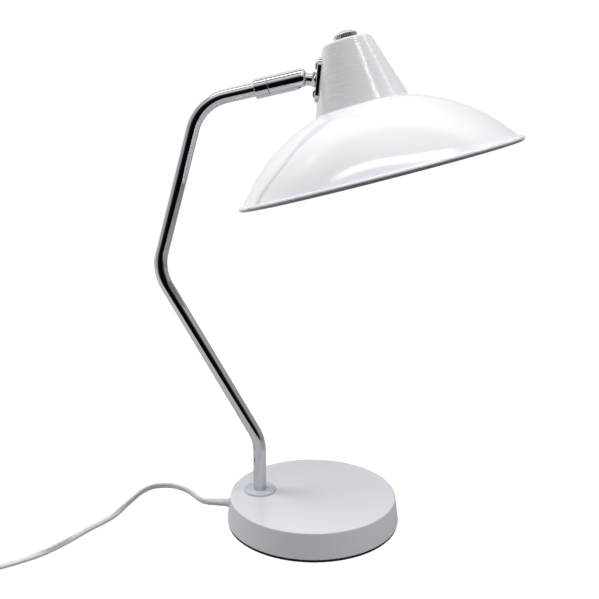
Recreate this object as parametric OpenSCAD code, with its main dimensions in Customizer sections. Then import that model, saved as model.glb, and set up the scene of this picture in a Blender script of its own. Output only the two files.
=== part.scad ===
// Desk lamp: round weighted base, bent chrome stem, slotted ball joint, spun dome shade with a
// tapered neck, rotary switch on the neck's top, small screw lamp holder and mains cord.
// Millimetres. Z is up, the origin is the centre of the base's underside, the lamp leans in the
// XZ plane with its foot towards -X and its shade towards +X.

/* [Base] */
// Diameter of the base cover at its lower edge
base_d = 160; // [140:1:200]
// Height of the base's top face above the table
base_h = 25.5; // [22:0.5:36]
// How much smaller the cover's radius is at the top than at the bottom
base_taper = 3; // [0:0.5:6]
// Rounding between the cover's side and its top
base_edge_r = 2.4; // [1.5:0.1:4]
// Sheet thickness of the base cover
cover_wall = 1.2; // [0.8:0.1:1.6]
// Thickness of the soft pad under the base
pad_t = 2.5; // [1.5:0.5:4]
// Height of the iron weight inside the cover
weight_h = 14; // [11:0.5:17]
// Diameter of the thin flange where the stem meets the base
flange_d = 30; // [24:1:44]
// Thickness of that flange
flange_t = 2; // [1.2:0.1:4]

/* [Stem] */
// Outside diameter of the stem tube
tube_d = 12; // [11:0.5:13]
// Wall of the stem tube
tube_wall = 1; // [0.8:0.1:1.2]
// Distance of the stem's foot behind the base's centre
foot_back = 50; // [40:1:52]
// Height of the first bend's corner above the table
foot_rise = 76; // [60:1:110]
// Corner to corner length of the part that leans back
lower_len = 183; // [140:1:230]
// Lean of that part from the vertical, in degrees
lower_lean = 30; // [20:1:36]
// Corner to corner length of the part that leans forward
upper_len = 152.5; // [120:0.5:190]
// Lean of that part from the vertical, in degrees
upper_lean = 16; // [8:1:24]
// Rise of the short arm above the horizontal, in degrees
arm_rise = 12; // [4:1:20]
// Bend radius at the middle of the tube
bend_r = 40; // [30:1:46]

/* [Ball joint] */
// Outside diameter of the swivel's sleeves
joint_d = 16.6; // [16.2:0.1:20]
// Distance along the arm from its corner to the sleeve's rear end
collar_at = 50; // [44:1:70]
// Length of the fixed rear sleeve
collar_len = 12; // [9:0.5:20]
// Length of the turning front sleeve
socket_len = 33; // [31:0.5:44]
// Distance from the ball's centre to the front sleeve's end
mouth_out = 5.1; // [4.8:0.1:5.3]
// Diameter of the ball
ball_d = 13.2; // [13:0.1:13.4]
// Diameter of the stud's neck behind its hexagon
stud_d = 10; // [9:0.2:10.2]
// Diameter of the threaded end, and of the switch's threaded bush
thread_d = 9.8; // [9:0.1:9.9]
// Bore through the ball and stud for the wires
wire_bore_d = 5.6; // [4.6:0.1:6]
// Distance from the ball's centre to the shade's neck
stud_len = 15.8; // [15.4:0.1:24]
// Across flats of the stud's hexagon
stud_hex_af = 12; // [11:0.5:14]

/* [Bracket] */
// Length of the bracket plate along the neck
plate_len = 37; // [35:1:46]
// Width of the bracket plate
plate_w = 16; // [15:0.5:22]
// Thickness of the bracket plate on the neck's centre line
plate_t = 2.4; // [1.8:0.1:3.5]
// Distance between the two screws
screw_gap = 23; // [22:0.5:26]
// Thread diameter of the screws
screw_d = 4; // [3:0.5:4.5]
// Head diameter of the screws
screw_head_d = 7.6; // [7:0.1:8.6]
// Height of the screws' round heads
screw_head_h = 2.6; // [1.8:0.1:3.4]

/* [Shade] */
// Overall diameter of the shade
shade_d = 246; // [220:1:280]
// Height of the shade from its rim to the top of its neck
shade_h = 113; // [105:1:130]
// Height of the round dome from the rim's plane to the neck's foot
dome_h = 57.45; // [50:0.05:66]
// Diameter of the neck where it meets the dome
neck_foot_d = 80.6; // [74:0.2:90]
// Diameter of the neck at its top, before the edge is rounded
neck_top_d = 40.6; // [38:0.2:50]
// Sheet thickness of the shade
shade_wall = 1; // [0.8:0.1:1.5]
// Rounding of the neck's top edge
neck_edge_r = 4; // [2.5:0.1:6]
// Hollow rounding between the neck and the dome
neck_foot_r = 3; // [1.5:0.1:6]
// Thickness of the rolled bead on the rim
bead_d = 4.4; // [3:0.1:6]
// Tilt of the shade's axis back from the vertical, in degrees
shade_tilt = 14.5; // [8:0.5:18]
// Height of the bracket's middle above the rim's plane
mount_h = 88; // [84:0.5:90]

/* [Switch and lamp holder] */
// Diameter of the switch knob
knob_d = 20; // [17:0.5:24]
// Height of the switch knob
knob_h = 7.6; // [7:0.1:12]
// Number of grip flutes round the knob
knob_flutes = 30; // [18:1:40]
// Diameter of the switch spindle
spindle_d = 4; // [3:0.1:5]
// Diameter of the switch housing
switch_d = 30; // [28:0.5:32]
// Height of the switch housing
switch_h = 20; // [16:1:22]
// Outside diameter of the lamp holder's sleeve
holder_d = 27; // [25:0.5:28]
// Length of the lamp holder's sleeve
holder_len = 34; // [30:1:38]
// Inside diameter of the lamp thread
lamp_thread_d = 14; // [13.8:0.1:14.4]
// Length of the lamp thread
lamp_thread_len = 16; // [13:1:20]

/* [Cord] */
// Width of the cord
cord_d = 5.4; // [5:0.1:6]
// Height of the cord's outlet above the table
outlet_z = 11; // [10.5:0.1:12]
// Diameter of the outlet's flange
gland_d = 8.8; // [8:0.1:10]
// Length of the outlet's tapered sleeve outside the cover
gland_len = 20; // [18:0.5:24]
// Turns in the coil of spare cord
coil_turns = 7.375; // [5.375:1:9.375]
// Middle diameter of the coil
coil_d = 63; // [60:1:66]
// Gap between neighbouring turns
coil_gap = 0.6; // [0.5:0.05:1]
// Length of the plug's body
plug_len = 35; // [32:1:40]
// Width of the plug's body at its pins
plug_w = 35; // [30:0.5:36]
// Thickness of the plug's body
plug_t = 13.7; // [12:0.1:15]
// Length of the plug's pins
pin_len = 19; // [17:0.5:20]
// Distance between the plug's pins
pin_gap = 18.6; // [17.5:0.1:19.4]

/* [Hidden] */
$fn = 72;

// Clearances
slide_fit = 0.05; // radial, pieces that don't move on each other
turn_fit = 0.08; // radial, shaft in its bore
free_gap = 0.3; // between bodies that move
bend_step = 0.02; // the tube's bends are thinner by this
bend_lap = 0.4; // and its straights reach this far into them
eps = 0.01; // makes a cut pass its surface

// Base, worked out
base_r = base_d / 2;
pad_inset = 0.6;
cover_h = base_h - pad_t;
cover_slope = atan(base_taper / cover_h);
edge_z = base_h - base_edge_r;
function cover_r(z) = base_r - (z - pad_t) * tan(cover_slope);
weight_gap = 2.5; // between the weight's rim and the cover
weight_r = base_r - base_taper - cover_wall - weight_gap;
weight_top = base_h - cover_wall;
weight_low = weight_top - weight_h;
pocket_depth = 5; // recess under the weight round the stem nut
pocket_top = weight_low + pocket_depth;
channel_w = 12; // groove from the outlet to the pocket
nut_af = 19;
nut_h = 4;
washer_d = 26;
washer_t = 1.2;
nut_top = pocket_top - washer_t;
thread_out = 1.1; // length of tube that shows below its nut
tube_low = nut_top - nut_h - thread_out;
pocket_r = washer_d / 2 + 9;

// Stem, worked out: corners of the bent tube in the XZ plane
function lean(a) = [sin(a), 0, cos(a)];
foot = [-foot_back, 0, 0];
corner_1 = foot + [0, 0, foot_rise];
corner_2 = corner_1 + lower_len * lean(-lower_lean);
corner_3 = corner_2 + upper_len * lean(upper_lean);
arm_slant = 90 - arm_rise;
stem_turns = [-lower_lean, lower_lean + upper_lean, arm_slant - upper_lean];
function setback(turn) = bend_r * tan(abs(turn) / 2);
collar_end = collar_at + collar_len;
stem_runs = [foot_rise - tube_low - setback(stem_turns[0]),
  lower_len - setback(stem_turns[0]) - setback(stem_turns[1]),
  upper_len - setback(stem_turns[1]) - setback(stem_turns[2]),
  collar_end - setback(stem_turns[2])];

// Ball joint, worked out: distances along the arm from its corner
ball_r = ball_d / 2;
seat_r = ball_r + turn_fit;
socket_start = collar_end + free_gap;
socket_end = socket_start + socket_len;
ball_at = socket_end - mouth_out;
bore_r = ball_r + turn_fit; // wide bore of the front sleeve, the ball's way in
mouth_r = stud_d / 2 + free_gap;
spigot_r = tube_d / 2;
spigot_end = collar_end + 12;
rib_end = spigot_end + 2; // collar of the bush that keeps the front sleeve on
seat_len = 6;
seat_end = ball_at - 3.6;
seat_start = seat_end - seat_len;
wire_way_r = wire_bore_d / 2 + 0.4;
mouth_edge_r = 4.5;
lead_d = 5;
ball_centre = corner_3 + ball_at * lean(arm_slant);

// Shade, worked out in its own frame: the rim's plane is z = 0
rim_r = (shade_d - bead_d) / 2;
dome_edge_r = rim_r - bead_d / 4;
dome_z = (neck_foot_d * neck_foot_d / 4 + dome_h * dome_h - dome_edge_r * dome_edge_r) / (2 * dome_h);
dome_r = sqrt(dome_edge_r * dome_edge_r + dome_z * dome_z);
neck_slope = (neck_foot_d - neck_top_d) / 2 / (shade_h - dome_h);
neck_lean = atan(neck_slope);
function neck_r(z) = neck_top_d / 2 + (shade_h - z) * neck_slope;
bush_hole_r = thread_d / 2 + 0.15;
mount_r = neck_r(mount_h);
stud_drop = neck_lean - shade_tilt; // how far the stud points below the horizontal
// Middle of the bracket on the neck's surface, then the centre of the rim
mount_point = ball_centre + stud_len * lean(90 + stud_drop);
shade_origin = mount_point - [-mount_r * cos(shade_tilt) - mount_h * sin(shade_tilt), 0,
  -mount_r * sin(shade_tilt) + mount_h * cos(shade_tilt)];

// Bracket, worked out along the stud from the neck's surface, outwards
stud_washer_t = 1;
stud_hex_h = 2.2;
washer_low = plate_t + free_gap;
hex_low = washer_low + stud_washer_t;
hex_top = hex_low + stud_hex_h;
stud_nut_h = 2.5;
stud_nut_af = 13;
stud_nut_top = -shade_wall - 1.8; // clears the neck's hollow curve
stud_tail = -stud_nut_top + stud_nut_h + 1.2;
small_nut_af = 7;
small_nut_h = 3.2;
small_nut_top = -shade_wall - 0.4;
screw_tail = -small_nut_top + small_nut_h + 1;

// Switch and holder, worked out along the shade's axis
switch_top = shade_h - shade_wall;
switch_low = switch_top - switch_h;
bush_out = 3.2; // bush above the neck's top
ring_h = 2.4;
ring_af = 13;
knob_gap = 0.5;
knob_low = shade_h + knob_gap;
knob_top = knob_low + knob_h;
knob_side_h = knob_h * 0.55;
knob_room_r = ring_af / sqrt(3) + 0.6;
spindle_low = switch_top - 12;
spindle_top = knob_top - 2;
holder_wall = 1.6;
holder_low = switch_low - holder_len;
core_r = holder_d / 2 - holder_wall - slide_fit;
core_low = holder_low + 4;
shell_wall = 0.5;
shell_r = lamp_thread_d / 2;
shell_low = core_low + 1;
shell_top = shell_low + lamp_thread_len;
well_top = shell_top + 5; // end of the well behind the thread

// Cord: hand-chosen points of its free stretch, from the outlet's sleeve to the coil
cord_r = cord_d / 2;
gland_flange_t = 1.8;
cord_start_x = -cover_r(outlet_z) - gland_flange_t - gland_len;
coil_lift = 0.8; // room under the coil for its tie
coil_centre = [-311, -115];
coil_entry = -45; // where the cord joins the coil, in degrees
turn_step = cord_d + coil_gap;
coil_in_r = coil_d / 2 - turn_step * coil_turns / 4;
coil_z = cord_r + coil_lift;
rings_per_turn = 24;
function ease(t) = let (c = min(1, max(0, t))) c * c * (3 - 2 * c);
// The turns run inwards on the table, climb while they reverse, and run out again on top
function coil_point(k) =
  let (a = coil_entry - 360 * k, from_middle = k - coil_turns / 2,
    r = coil_in_r + turn_step * abs(from_middle))
  [coil_centre.x + r * cos(a), coil_centre.y + r * sin(a),
    coil_z + turn_step * ease(from_middle / 0.5 + 0.5)];
coil_heading = [sin(coil_entry), -cos(coil_entry), 0];
coil_start = coil_point(0) - cord_d * coil_heading;
tail_len = 26;
plug_z = plug_t / 2;
coil_out = coil_point(coil_turns);
function tail_point(s) = [coil_out.x, coil_out.y + s,
  coil_out.z + (plug_z - coil_out.z) * ease(s / (tail_len - cord_d))];
coil_path = concat([coil_start], [for (i = [0 : coil_turns * rings_per_turn])
  coil_point(i / rings_per_turn)],
  [for (s = [5 : 5 : 20]) tail_point(s)], [tail_point(tail_len)]);
plug_start = tail_point(tail_len);
cord_route = [
  [cord_start_x, 0, outlet_z], [-104.5, 0.5, 11], [-109, 4, 10.8], [-116, 12, 10.4], [-126, 23, 10], [-143, 34, 9],
  [-158, 38, 7], [-168, 35, 5.8], [-175, 26, 4.6], [-179, 13, 3.7], [-183, -4, 3],
  [-187, -20, 2.7], [-193, -33, 2.7], [-200, -45, 2.7], [-206, -58, 2.7], [-211, -70, 2.7],
  [-216, -80, 2.7], [-222, -89, 2.7], [-230, -98, 2.7], [-240, -107, 2.7], [-251, -116, 2.8],
  [-262, -126, 3.1], coil_start - 5 * coil_heading, coil_start];

// Least distance between turns, less the cord's own width
function turn_gap(p, skip) = min([for (i = [0 : len(p) - 1 - skip])
  min([for (j = [i + skip : len(p) - 1]) norm(p[i] - p[j])])]) - cord_d;
echo(least_gap_in_coil = turn_gap(coil_path, rings_per_turn / 2));

function path_length(p) = let (steps = [for (i = [1 : len(p) - 1]) norm(p[i] - p[i - 1])])
  steps * [for (s = steps) 1];
echo(cord_length = path_length(cord_route) + path_length(coil_path) + gland_len);

// Helpers

// Points on an arc round c, from angle a0 to a1
function arc(c, r, a0, a1, n = 8) =
  [for (i = [0 : n]) let (a = a0 + (a1 - a0) * i / n) c + r * [cos(a), sin(a)]];

function reversed(p) = [for (i = [len(p) - 1 : -1 : 0]) p[i]];

function unit(v) = v / norm(v);

// Direction of a path of points at point i
function heading(p, i) = unit(p[min(i + 1, len(p) - 1)] - p[max(i - 1, 0)]);

// Tube of triangles along a path that never stands upright
module swept(p, d, sides) {
  last = len(p) - 1;
  rings = [for (i = [0 : last])
    let (t = heading(p, i), side = unit(cross(t, [0, 0, 1])), up = cross(side, t))
    for (j = [0 : sides - 1])
      let (a = 360 * (j + 0.5) / sides) p[i] + d / 2 * (cos(a) * side + sin(a) * up)];
  walls = [for (i = [0 : last - 1], j = [0 : sides - 1])
    let (a = i * sides + j, b = i * sides + (j + 1) % sides)
    each [[a, b, b + sides], [a, b + sides, a + sides]]];
  caps = [for (j = [1 : sides - 2])
    each [[0, j + 1, j], [last * sides, last * sides + j, last * sides + j + 1]]];
  polyhedron(rings, concat(walls, caps));
}

module ring(r_out, r_in, h) {
  difference() {
    cylinder(h = h, r = r_out);
    translate([0, 0, -eps]) cylinder(h = h + 2 * eps, r = r_in);
  }
}

module hex_prism(af, h) {
  cylinder(h = h, d = af / cos(30), $fn = 6);
}

module hex_nut(af, r_in, h) {
  difference() {
    hex_prism(af, h);
    translate([0, 0, -eps]) cylinder(h = h + 2 * eps, r = r_in, $fn = 36);
  }
}

// Round bar or tube that follows the stem's straight runs and bends. The straights are a hair
// thicker and reach a little into the bends, so that each joint is a clean step
module stem_bar(r_out, r_in, runs, i = 0) {
  before = i > 0 ? bend_lap : 0;
  after = i < len(stem_turns) ? bend_lap : 0;
  translate([0, 0, -before]) linear_extrude(runs[i] + before + after)
    stem_section(r_out, r_in);
  if (i < len(stem_turns)) {
    turn = stem_turns[i];
    side = sign(turn);
    translate([0, 0, runs[i]]) {
      rotate([0, 0, side < 0 ? 180 : 0]) translate([bend_r, 0, 0]) rotate([90, 0, 180])
        rotate_extrude(angle = abs(turn)) translate([bend_r, 0])
          stem_section(r_out - bend_step, r_in > 0 ? r_in + bend_step : 0);
      translate([side * bend_r, 0, 0]) rotate([0, turn, 0]) translate([-side * bend_r, 0, 0])
        stem_bar(r_out, r_in, runs, i + 1);
    }
  }
}

module stem_section(r_out, r_in) {
  difference() {
    circle(r_out, $fn = 48);
    if (r_in > 0) circle(r_in, $fn = 48);
  }
}

// Frames: along the arm (z runs out along it, x down), the shade, and the bracket's middle
// (z points at the ball, x up along the neck). Two more stand where the cord leaves the cover, with
// z along the cord and z square to the sloping wall
module along_arm() {
  translate(corner_3) rotate([0, arm_slant, 0]) children();
}

module in_shade() {
  translate(shade_origin) rotate([0, -shade_tilt, 0]) children();
}

module along_outlet() {
  translate([-cover_r(outlet_z), 0, outlet_z]) rotate([0, -90, 0]) children();
}

module at_outlet() {
  along_outlet() rotate([0, cover_slope, 0]) children();
}

module at_mount() {
  in_shade() translate([-mount_r, 0, mount_h]) rotate([0, neck_lean - 90, 0]) children();
}

module at_screws() {
  for (side = [-1, 1]) translate([side * screw_gap / 2, 0, 0]) children();
}

// Base

// Edge of the cover, set in from the outside by a distance
function cover_edge(inset) =
  let (c = [cover_r(edge_z) - base_edge_r / cos(cover_slope), edge_z])
  concat(reversed(arc(c, base_edge_r - inset, cover_slope, 90)),
    [[cover_r(pad_t) - inset / cos(cover_slope), pad_t]]);

module base_cover() color("white") difference() {
  rotate_extrude($fn = 120) polygon(concat([[0, base_h]], cover_edge(0),
    reversed(cover_edge(cover_wall)), [[0, base_h - cover_wall]]));
  translate(foot + [0, 0, weight_top - 1]) cylinder(h = cover_wall + 2, r = tube_d / 2 + slide_fit);
  at_outlet() translate([0, 0, -5]) cylinder(h = 10, r = gland_d / 2 - 1 + slide_fit);
}

// Iron disc with a pocket for the stem nut and a groove for the cord
module base_weight() color("dimgray") difference() {
  translate([0, 0, weight_low]) cylinder(h = weight_h, r = weight_r, $fn = 120);
  translate(foot) cylinder(h = base_h, r = tube_d / 2 + slide_fit);
  translate(foot + [0, 0, weight_low - 1]) cylinder(h = pocket_depth + 1, r = pocket_r);
  translate([-base_r, -channel_w / 2, weight_low - 1])
    cube([base_r - foot_back, channel_w, pocket_depth + 1]);
}

module base_pad() color("black") cylinder(h = pad_t, r = base_r - pad_inset, $fn = 120);

// Thin flange with a rounded edge round the stem's foot
module foot_flange() color("white") translate(foot + [0, 0, base_h])
  rotate_extrude() polygon(concat([[tube_d / 2 + slide_fit, 0], [flange_d / 2, 0]],
    arc([flange_d / 2 - flange_t * 0.7, flange_t * 0.3], flange_t * 0.7, 0, 90, 6),
    [[tube_d / 2 + slide_fit, flange_t]]));

// Stem

module stem_tube() color("silver") translate(foot + [0, 0, tube_low])
  stem_bar(tube_d / 2, tube_d / 2 - tube_wall, stem_runs);

module stem_washer() color("silver") translate(foot + [0, 0, nut_top])
  ring(washer_d / 2, tube_d / 2 + slide_fit, washer_t);

module stem_nut() color("goldenrod") translate(foot + [0, 0, nut_top - nut_h])
  hex_nut(nut_af, tube_d / 2 + slide_fit, nut_h);

// Cable inside the stem, from the terminal block to the swivel
block_x = -26;
lead_z = 6;
lead_turn_r = 6;
lead_low = lead_z + lead_turn_r;
lead_past = 13; // reach into the front sleeve
elbow_lap = bend_lap / 2;
module stem_lead() color("white") {
  translate(foot + [0, 0, lead_low - elbow_lap]) stem_bar(lead_d / 2, 0,
    [stem_runs[0] + tube_low - lead_low + elbow_lap, stem_runs[1], stem_runs[2],
      stem_runs[3] + lead_past]);
  translate(foot + [lead_turn_r, 0, lead_low]) rotate([90, 0, 0]) rotate_extrude(angle = 90)
    translate([-lead_turn_r, 0]) circle(lead_d / 2 - bend_step, $fn = 48);
  translate(foot + [lead_turn_r - elbow_lap, 0, lead_z]) rotate([0, 90, 0])
    cylinder(h = block_x + foot_back - lead_turn_r + elbow_lap, r = lead_d / 2, $fn = 48);
}

// Two-way terminal block under the weight
block_l = 18;
block_w = 20;
tail_y = -9.5;
module terminal_block() color("ivory")
  translate([block_x, tail_y / 2 - block_w / 2, pad_t + 0.6]) difference() {
    cube([block_l, block_w, weight_low - pad_t - 0.6]);
    for (y = [6, 14], x = [4, 14]) translate([x, y, -1]) cylinder(h = 4, r = 1.6, $fn = 24);
  }

// Cord through its outlet and inside the base, up to the terminal block
module mains_tail() color("white") swept([[cord_start_x, 0, outlet_z],
  [-cover_r(outlet_z) + cover_wall + 3, 0, outlet_z], [-71, -1.5, 9.8], [-65, -5, 7.8],
  [-58, -8.5, 6.3], [-50, tail_y, lead_z], [-38, tail_y, lead_z], [block_x, tail_y, lead_z]],
  cord_d, 8);

// Cord outlet: flange, groove that grips the cover, and a short tapered sleeve
module cord_gland() color("gainsboro") difference() {
  union() {
    at_outlet() rotate_extrude() polygon([[0, -cover_wall - 2], [gland_d / 2 - 0.4, -cover_wall - 2],
      [gland_d / 2 - 0.2, -cover_wall - free_gap], [gland_d / 2 - 1, -cover_wall - free_gap],
      [gland_d / 2 - 1, free_gap], [gland_d / 2, free_gap], [gland_d / 2, gland_flange_t - 0.4],
      [gland_d / 2 - 0.4, gland_flange_t], [0, gland_flange_t]]);
    along_outlet() translate([0, 0, gland_flange_t / 2])
      cylinder(h = gland_len + gland_flange_t / 2, r1 = cord_r + 0.8, r2 = cord_r + 0.35);
  }
  along_outlet() translate([0, 0, -cover_wall - 4])
    cylinder(h = gland_len + cover_wall + 8, r = cord_r + slide_fit, $fn = 48);
}

// Cord, coil, tie and plug

module cord() color("white") swept(cord_route, cord_d, 8);

module cord_coil() color("white") swept(coil_path, cord_d, 6);

// Strap round the coil's bundle of turns
tie_angle = -100;
tie_w = 5;
tie_t = 0.5;
tie_gap = 0.3;
coil_out_r = coil_in_r + turn_step * coil_turns / 2;
module cord_tie() color("dimgray") {
  inner_w = coil_out_r - coil_in_r + cord_d - turn_step / 2 + 2 * tie_gap;
  inner_h = turn_step + cord_d + 2 * tie_gap;
  middle_r = (coil_out_r + coil_in_r) / 2 + turn_step / 8;
  translate([coil_centre.x, coil_centre.y, tie_t + inner_h / 2]) rotate([0, 0, tie_angle])
    translate([middle_r, tie_w / 2, 0]) rotate([90, 0, 0]) linear_extrude(tie_w)
      difference() {
        rounded_box(inner_w + 2 * tie_t, inner_h + 2 * tie_t, 2.5 + tie_t);
        rounded_box(inner_w, inner_h, 2.5);
      }
}

module rounded_box(w, h, r) {
  polygon([for (q = [0 : 3]) each
    arc([(q == 0 || q == 3 ? 1 : -1) * (w / 2 - r), (q < 2 ? 1 : -1) * (h / 2 - r)],
      r, 90 * q, 90 * q + 90, 6)]);
}

// Flat two-pin plug with a ribbed sleeve on the cord
boot_len = 14;
boot_r = 4.6;
module plug() color("white") translate(plug_start) rotate([-90, 0, 0]) {
  rotate_extrude($fn = 36) polygon(concat([[0, 0], [cord_r + 0.6, 0]],
    [for (i = [0 : 4], s = [0, 1]) let (z = 1 + i * 2.6)
      each [[cord_r + 0.7 + i * 0.25 + s * 0.5, z + s * 0.4],
        [cord_r + 0.7 + i * 0.25 + s * 0.5, z + s * 0.4 + 0.8]]],
    [[boot_r, boot_len], [boot_r, boot_len + 2], [0, boot_len + 2]]));
  translate([0, 0, boot_len]) intersection() {
    rotate([90, 0, 0]) translate([0, 0, -plug_t / 2]) linear_extrude(plug_t)
      plug_outline();
    linear_extrude(plug_len) rounded_box(plug_w, plug_t, plug_t * 0.42);
  }
}

// Plan of the plug's body: narrow at the cord, waisted for the fingers, wide at the pins
module plug_outline() {
  half = [for (i = [0 : 12]) let (t = i / 12) [boot_r + 1 + (plug_w / 2 - boot_r - 1) * ease(t * 1.15),
    plug_len * t]];
  polygon(concat([for (p = half) p], [for (p = reversed(half)) [-p.x, p.y]]));
}

pin_r = 2;
module plug_pins() color("silver") translate(plug_start) rotate([-90, 0, 0])
  for (side = [-1, 1]) translate([side * pin_gap / 2, 0, boot_len + plug_len]) {
    cylinder(h = pin_len - pin_r, r = pin_r, $fn = 32);
    translate([0, 0, pin_len - pin_r]) cylinder(h = pin_r, r1 = pin_r, r2 = pin_r / 2, $fn = 32);
  }

// Ball joint

// Rear sleeve, fixed on the tube's end
module arm_collar() color("silver") along_arm() translate([0, 0, collar_at]) rotate_extrude()
  polygon([[tube_d / 2 + slide_fit, 0], [joint_d / 2 - 0.4, 0], [joint_d / 2, 0.4],
    [joint_d / 2, collar_len], [tube_d / 2 + slide_fit, collar_len]]);

// Hollow bush in the tube's end that carries the front sleeve
bush_in = 14;
module pivot_bush() color("goldenrod") along_arm() rotate_extrude() polygon([
  [wire_way_r, collar_end - bush_in], [tube_d / 2 - tube_wall - slide_fit, collar_end - bush_in],
  [tube_d / 2 - tube_wall - slide_fit, collar_end], [spigot_r, collar_end],
  [spigot_r, spigot_end], [ball_r, spigot_end], [ball_r, rib_end], [wire_way_r, rib_end]]);

// Front sleeve: turns on the bush, holds the ball, and is slotted below for the stud
module ball_socket() color("silver") along_arm() difference() {
  translate([0, 0, socket_start]) rotate_extrude() polygon(concat([[0, 0], [joint_d / 2, 0]],
    arc([joint_d / 2 - mouth_edge_r, socket_len - mouth_edge_r], mouth_edge_r, 0, 90, 8),
    [[0, socket_len]]));
  translate([0, 0, socket_start - 1]) cylinder(h = 30, r = spigot_r + turn_fit);
  translate([0, 0, spigot_end - free_gap])
    cylinder(h = ball_at - spigot_end + free_gap, r = bore_r);
  translate([0, 0, ball_at]) sphere(seat_r);
  translate([0, 0, ball_at]) {
    cylinder(h = mouth_out + 1, r = mouth_r);
    rotate([0, 90, 0]) cylinder(h = joint_d, r = mouth_r);
    translate([0, -mouth_r, 0]) cube([joint_d, 2 * mouth_r, mouth_out + 1]);
  }
}

// Stack of disc springs, drawn as one pleated ring
spring_folds = 5;
spring_t = 1;
module seat_spring() color("silver") along_arm() {
  low = rib_end + free_gap;
  step = (seat_start - slide_fit - low) / spring_folds;
  pleats = [for (i = [0 : spring_folds]) [i % 2 == 0 ? 4.9 : 6.2, low + i * step]];
  rotate_extrude() polygon(concat(pleats, reversed([for (p = pleats) p - [spring_t, 0]])));
}

// Plastic ring that the spring presses on the ball
module pressure_seat() color("ivory") along_arm() difference() {
  translate([0, 0, seat_start]) ring(bore_r - slide_fit, wire_way_r, seat_len);
  translate([0, 0, ball_at]) sphere(seat_r);
}

// Ball, neck, hexagon and threaded end in one piece, bored for the wires
module ball_stud() color("silver") at_mount() difference() {
  union() {
    translate([0, 0, stud_len]) sphere(ball_r);
    translate([0, 0, hex_low]) cylinder(h = stud_len - hex_low, r = stud_d / 2);
    translate([0, 0, hex_low]) hex_prism(stud_hex_af, stud_hex_h);
    translate([0, 0, -stud_tail]) cylinder(h = stud_tail + stud_len, r = thread_d / 2);
  }
  translate([0, 0, -stud_tail - 1])
    cylinder(h = stud_tail + stud_len + ball_d, r = wire_bore_d / 2, $fn = 48);
}

module stud_washer() color("silver") at_mount() translate([0, 0, washer_low])
  ring(stud_hex_af / 2, thread_d / 2 + slide_fit, stud_washer_t);

module stud_nut() color("goldenrod") at_mount() translate([0, 0, stud_nut_top - stud_nut_h])
  rotate([0, 0, 30]) hex_nut(stud_nut_af, thread_d / 2 + slide_fit, stud_nut_h);

// Bracket

// Plate with a flat face for the stud and a hollow back that sits on the neck
module head_bracket() color("silver") difference() {
  at_mount() difference() {
    translate([0, 0, -3]) linear_extrude(plate_t + 3) plate_outline();
    translate([0, 0, -4]) cylinder(h = 10, r = thread_d / 2 + turn_fit);
    at_screws() translate([0, 0, -4]) cylinder(h = 10, r = screw_d / 2 + slide_fit);
  }
  in_shade() cylinder(h = shade_h, r1 = neck_r(0) + slide_fit, r2 = neck_top_d / 2 + slide_fit,
    $fn = 120);
}

// Straight sides and half-round ends
module plate_outline() {
  run = plate_len - plate_w;
  polygon(concat(arc([run / 2, 0], plate_w / 2, -90, 90, 16),
    arc([-run / 2, 0], plate_w / 2, 90, 270, 16)));
}

module bracket_screws() color("silver") at_mount() at_screws() {
  rise = screw_head_h;
  cap_r = (screw_head_d * screw_head_d / 4 + rise * rise) / (2 * rise);
  cap_a = asin(screw_head_d / 2 / cap_r);
  translate([0, 0, plate_t]) rotate_extrude($fn = 36) polygon(concat(
    reversed(arc([0, rise - cap_r], cap_r, 90 - cap_a, 90)), [[0, 0]]));
  translate([0, 0, -screw_tail]) cylinder(h = screw_tail + plate_t, r = screw_d / 2, $fn = 36);
}

module bracket_nuts() color("silver") at_mount() at_screws()
  translate([0, 0, small_nut_top - small_nut_h])
    rotate([0, 0, 30]) hex_nut(small_nut_af, screw_d / 2 + slide_fit, small_nut_h);

// Shade

// Centre of the hollow rounding: it touches the neck's cone and the dome from outside
foot_c = let (q = dome_r + neck_foot_r, k = neck_slope,
    a = neck_r(0) + neck_foot_r / cos(neck_lean), b = a * k + dome_z,
    z = (b + sqrt(b * b - (k * k + 1) * (a * a + dome_z * dome_z - q * q))) / (k * k + 1))
  [a - k * z, z];
dome_start = atan2(foot_c.y - dome_z, foot_c.x);
dome_stop = atan2(-dome_z, dome_edge_r);

// Half section of the shade's sheet, set in from the outside by a distance
function shade_line(inset) =
  let (edge_z = shade_h - neck_edge_r,
    edge_c = [neck_r(edge_z) - neck_edge_r / cos(neck_lean), edge_z])
  concat([[bush_hole_r, shade_h - inset]],
    arc(edge_c, neck_edge_r - inset, 90, neck_lean, 8),
    arc(foot_c, neck_foot_r + inset, 180 + neck_lean, 180 + dome_start, 6),
    arc([0, dome_z], dome_r - inset, dome_start, dome_stop, 24));

module shade() color("white") difference() {
  in_shade() {
    rotate_extrude($fn = 144) polygon(concat(shade_line(0), reversed(shade_line(shade_wall))));
    rotate_extrude($fn = 144) translate([rim_r, 0]) circle(bead_d / 2, $fn = 32);
  }
  at_mount() {
    translate([0, 0, -8]) cylinder(h = 12, r = thread_d / 2 + turn_fit);
    at_screws() translate([0, 0, -8]) cylinder(h = 12, r = screw_d / 2 + slide_fit);
  }
}

// Switch, knob and lamp holder

module switch_body() color("ivory") in_shade() difference() {
  union() {
    translate([0, 0, switch_low]) cylinder(h = switch_h - 3, r = switch_d / 2);
    translate([0, 0, switch_top - 3]) cylinder(h = 3, r1 = switch_d / 2, r2 = switch_d / 2 - 3);
    translate([0, 0, switch_top - eps]) cylinder(h = shade_wall + bush_out, r = thread_d / 2);
  }
  translate([0, 0, spindle_low - free_gap])
    cylinder(h = 40, r = spindle_d / 2 + turn_fit, $fn = 48);
}

module switch_ring() color("silver") in_shade() translate([0, 0, shade_h])
  hex_nut(ring_af, thread_d / 2 + slide_fit, ring_h);

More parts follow.
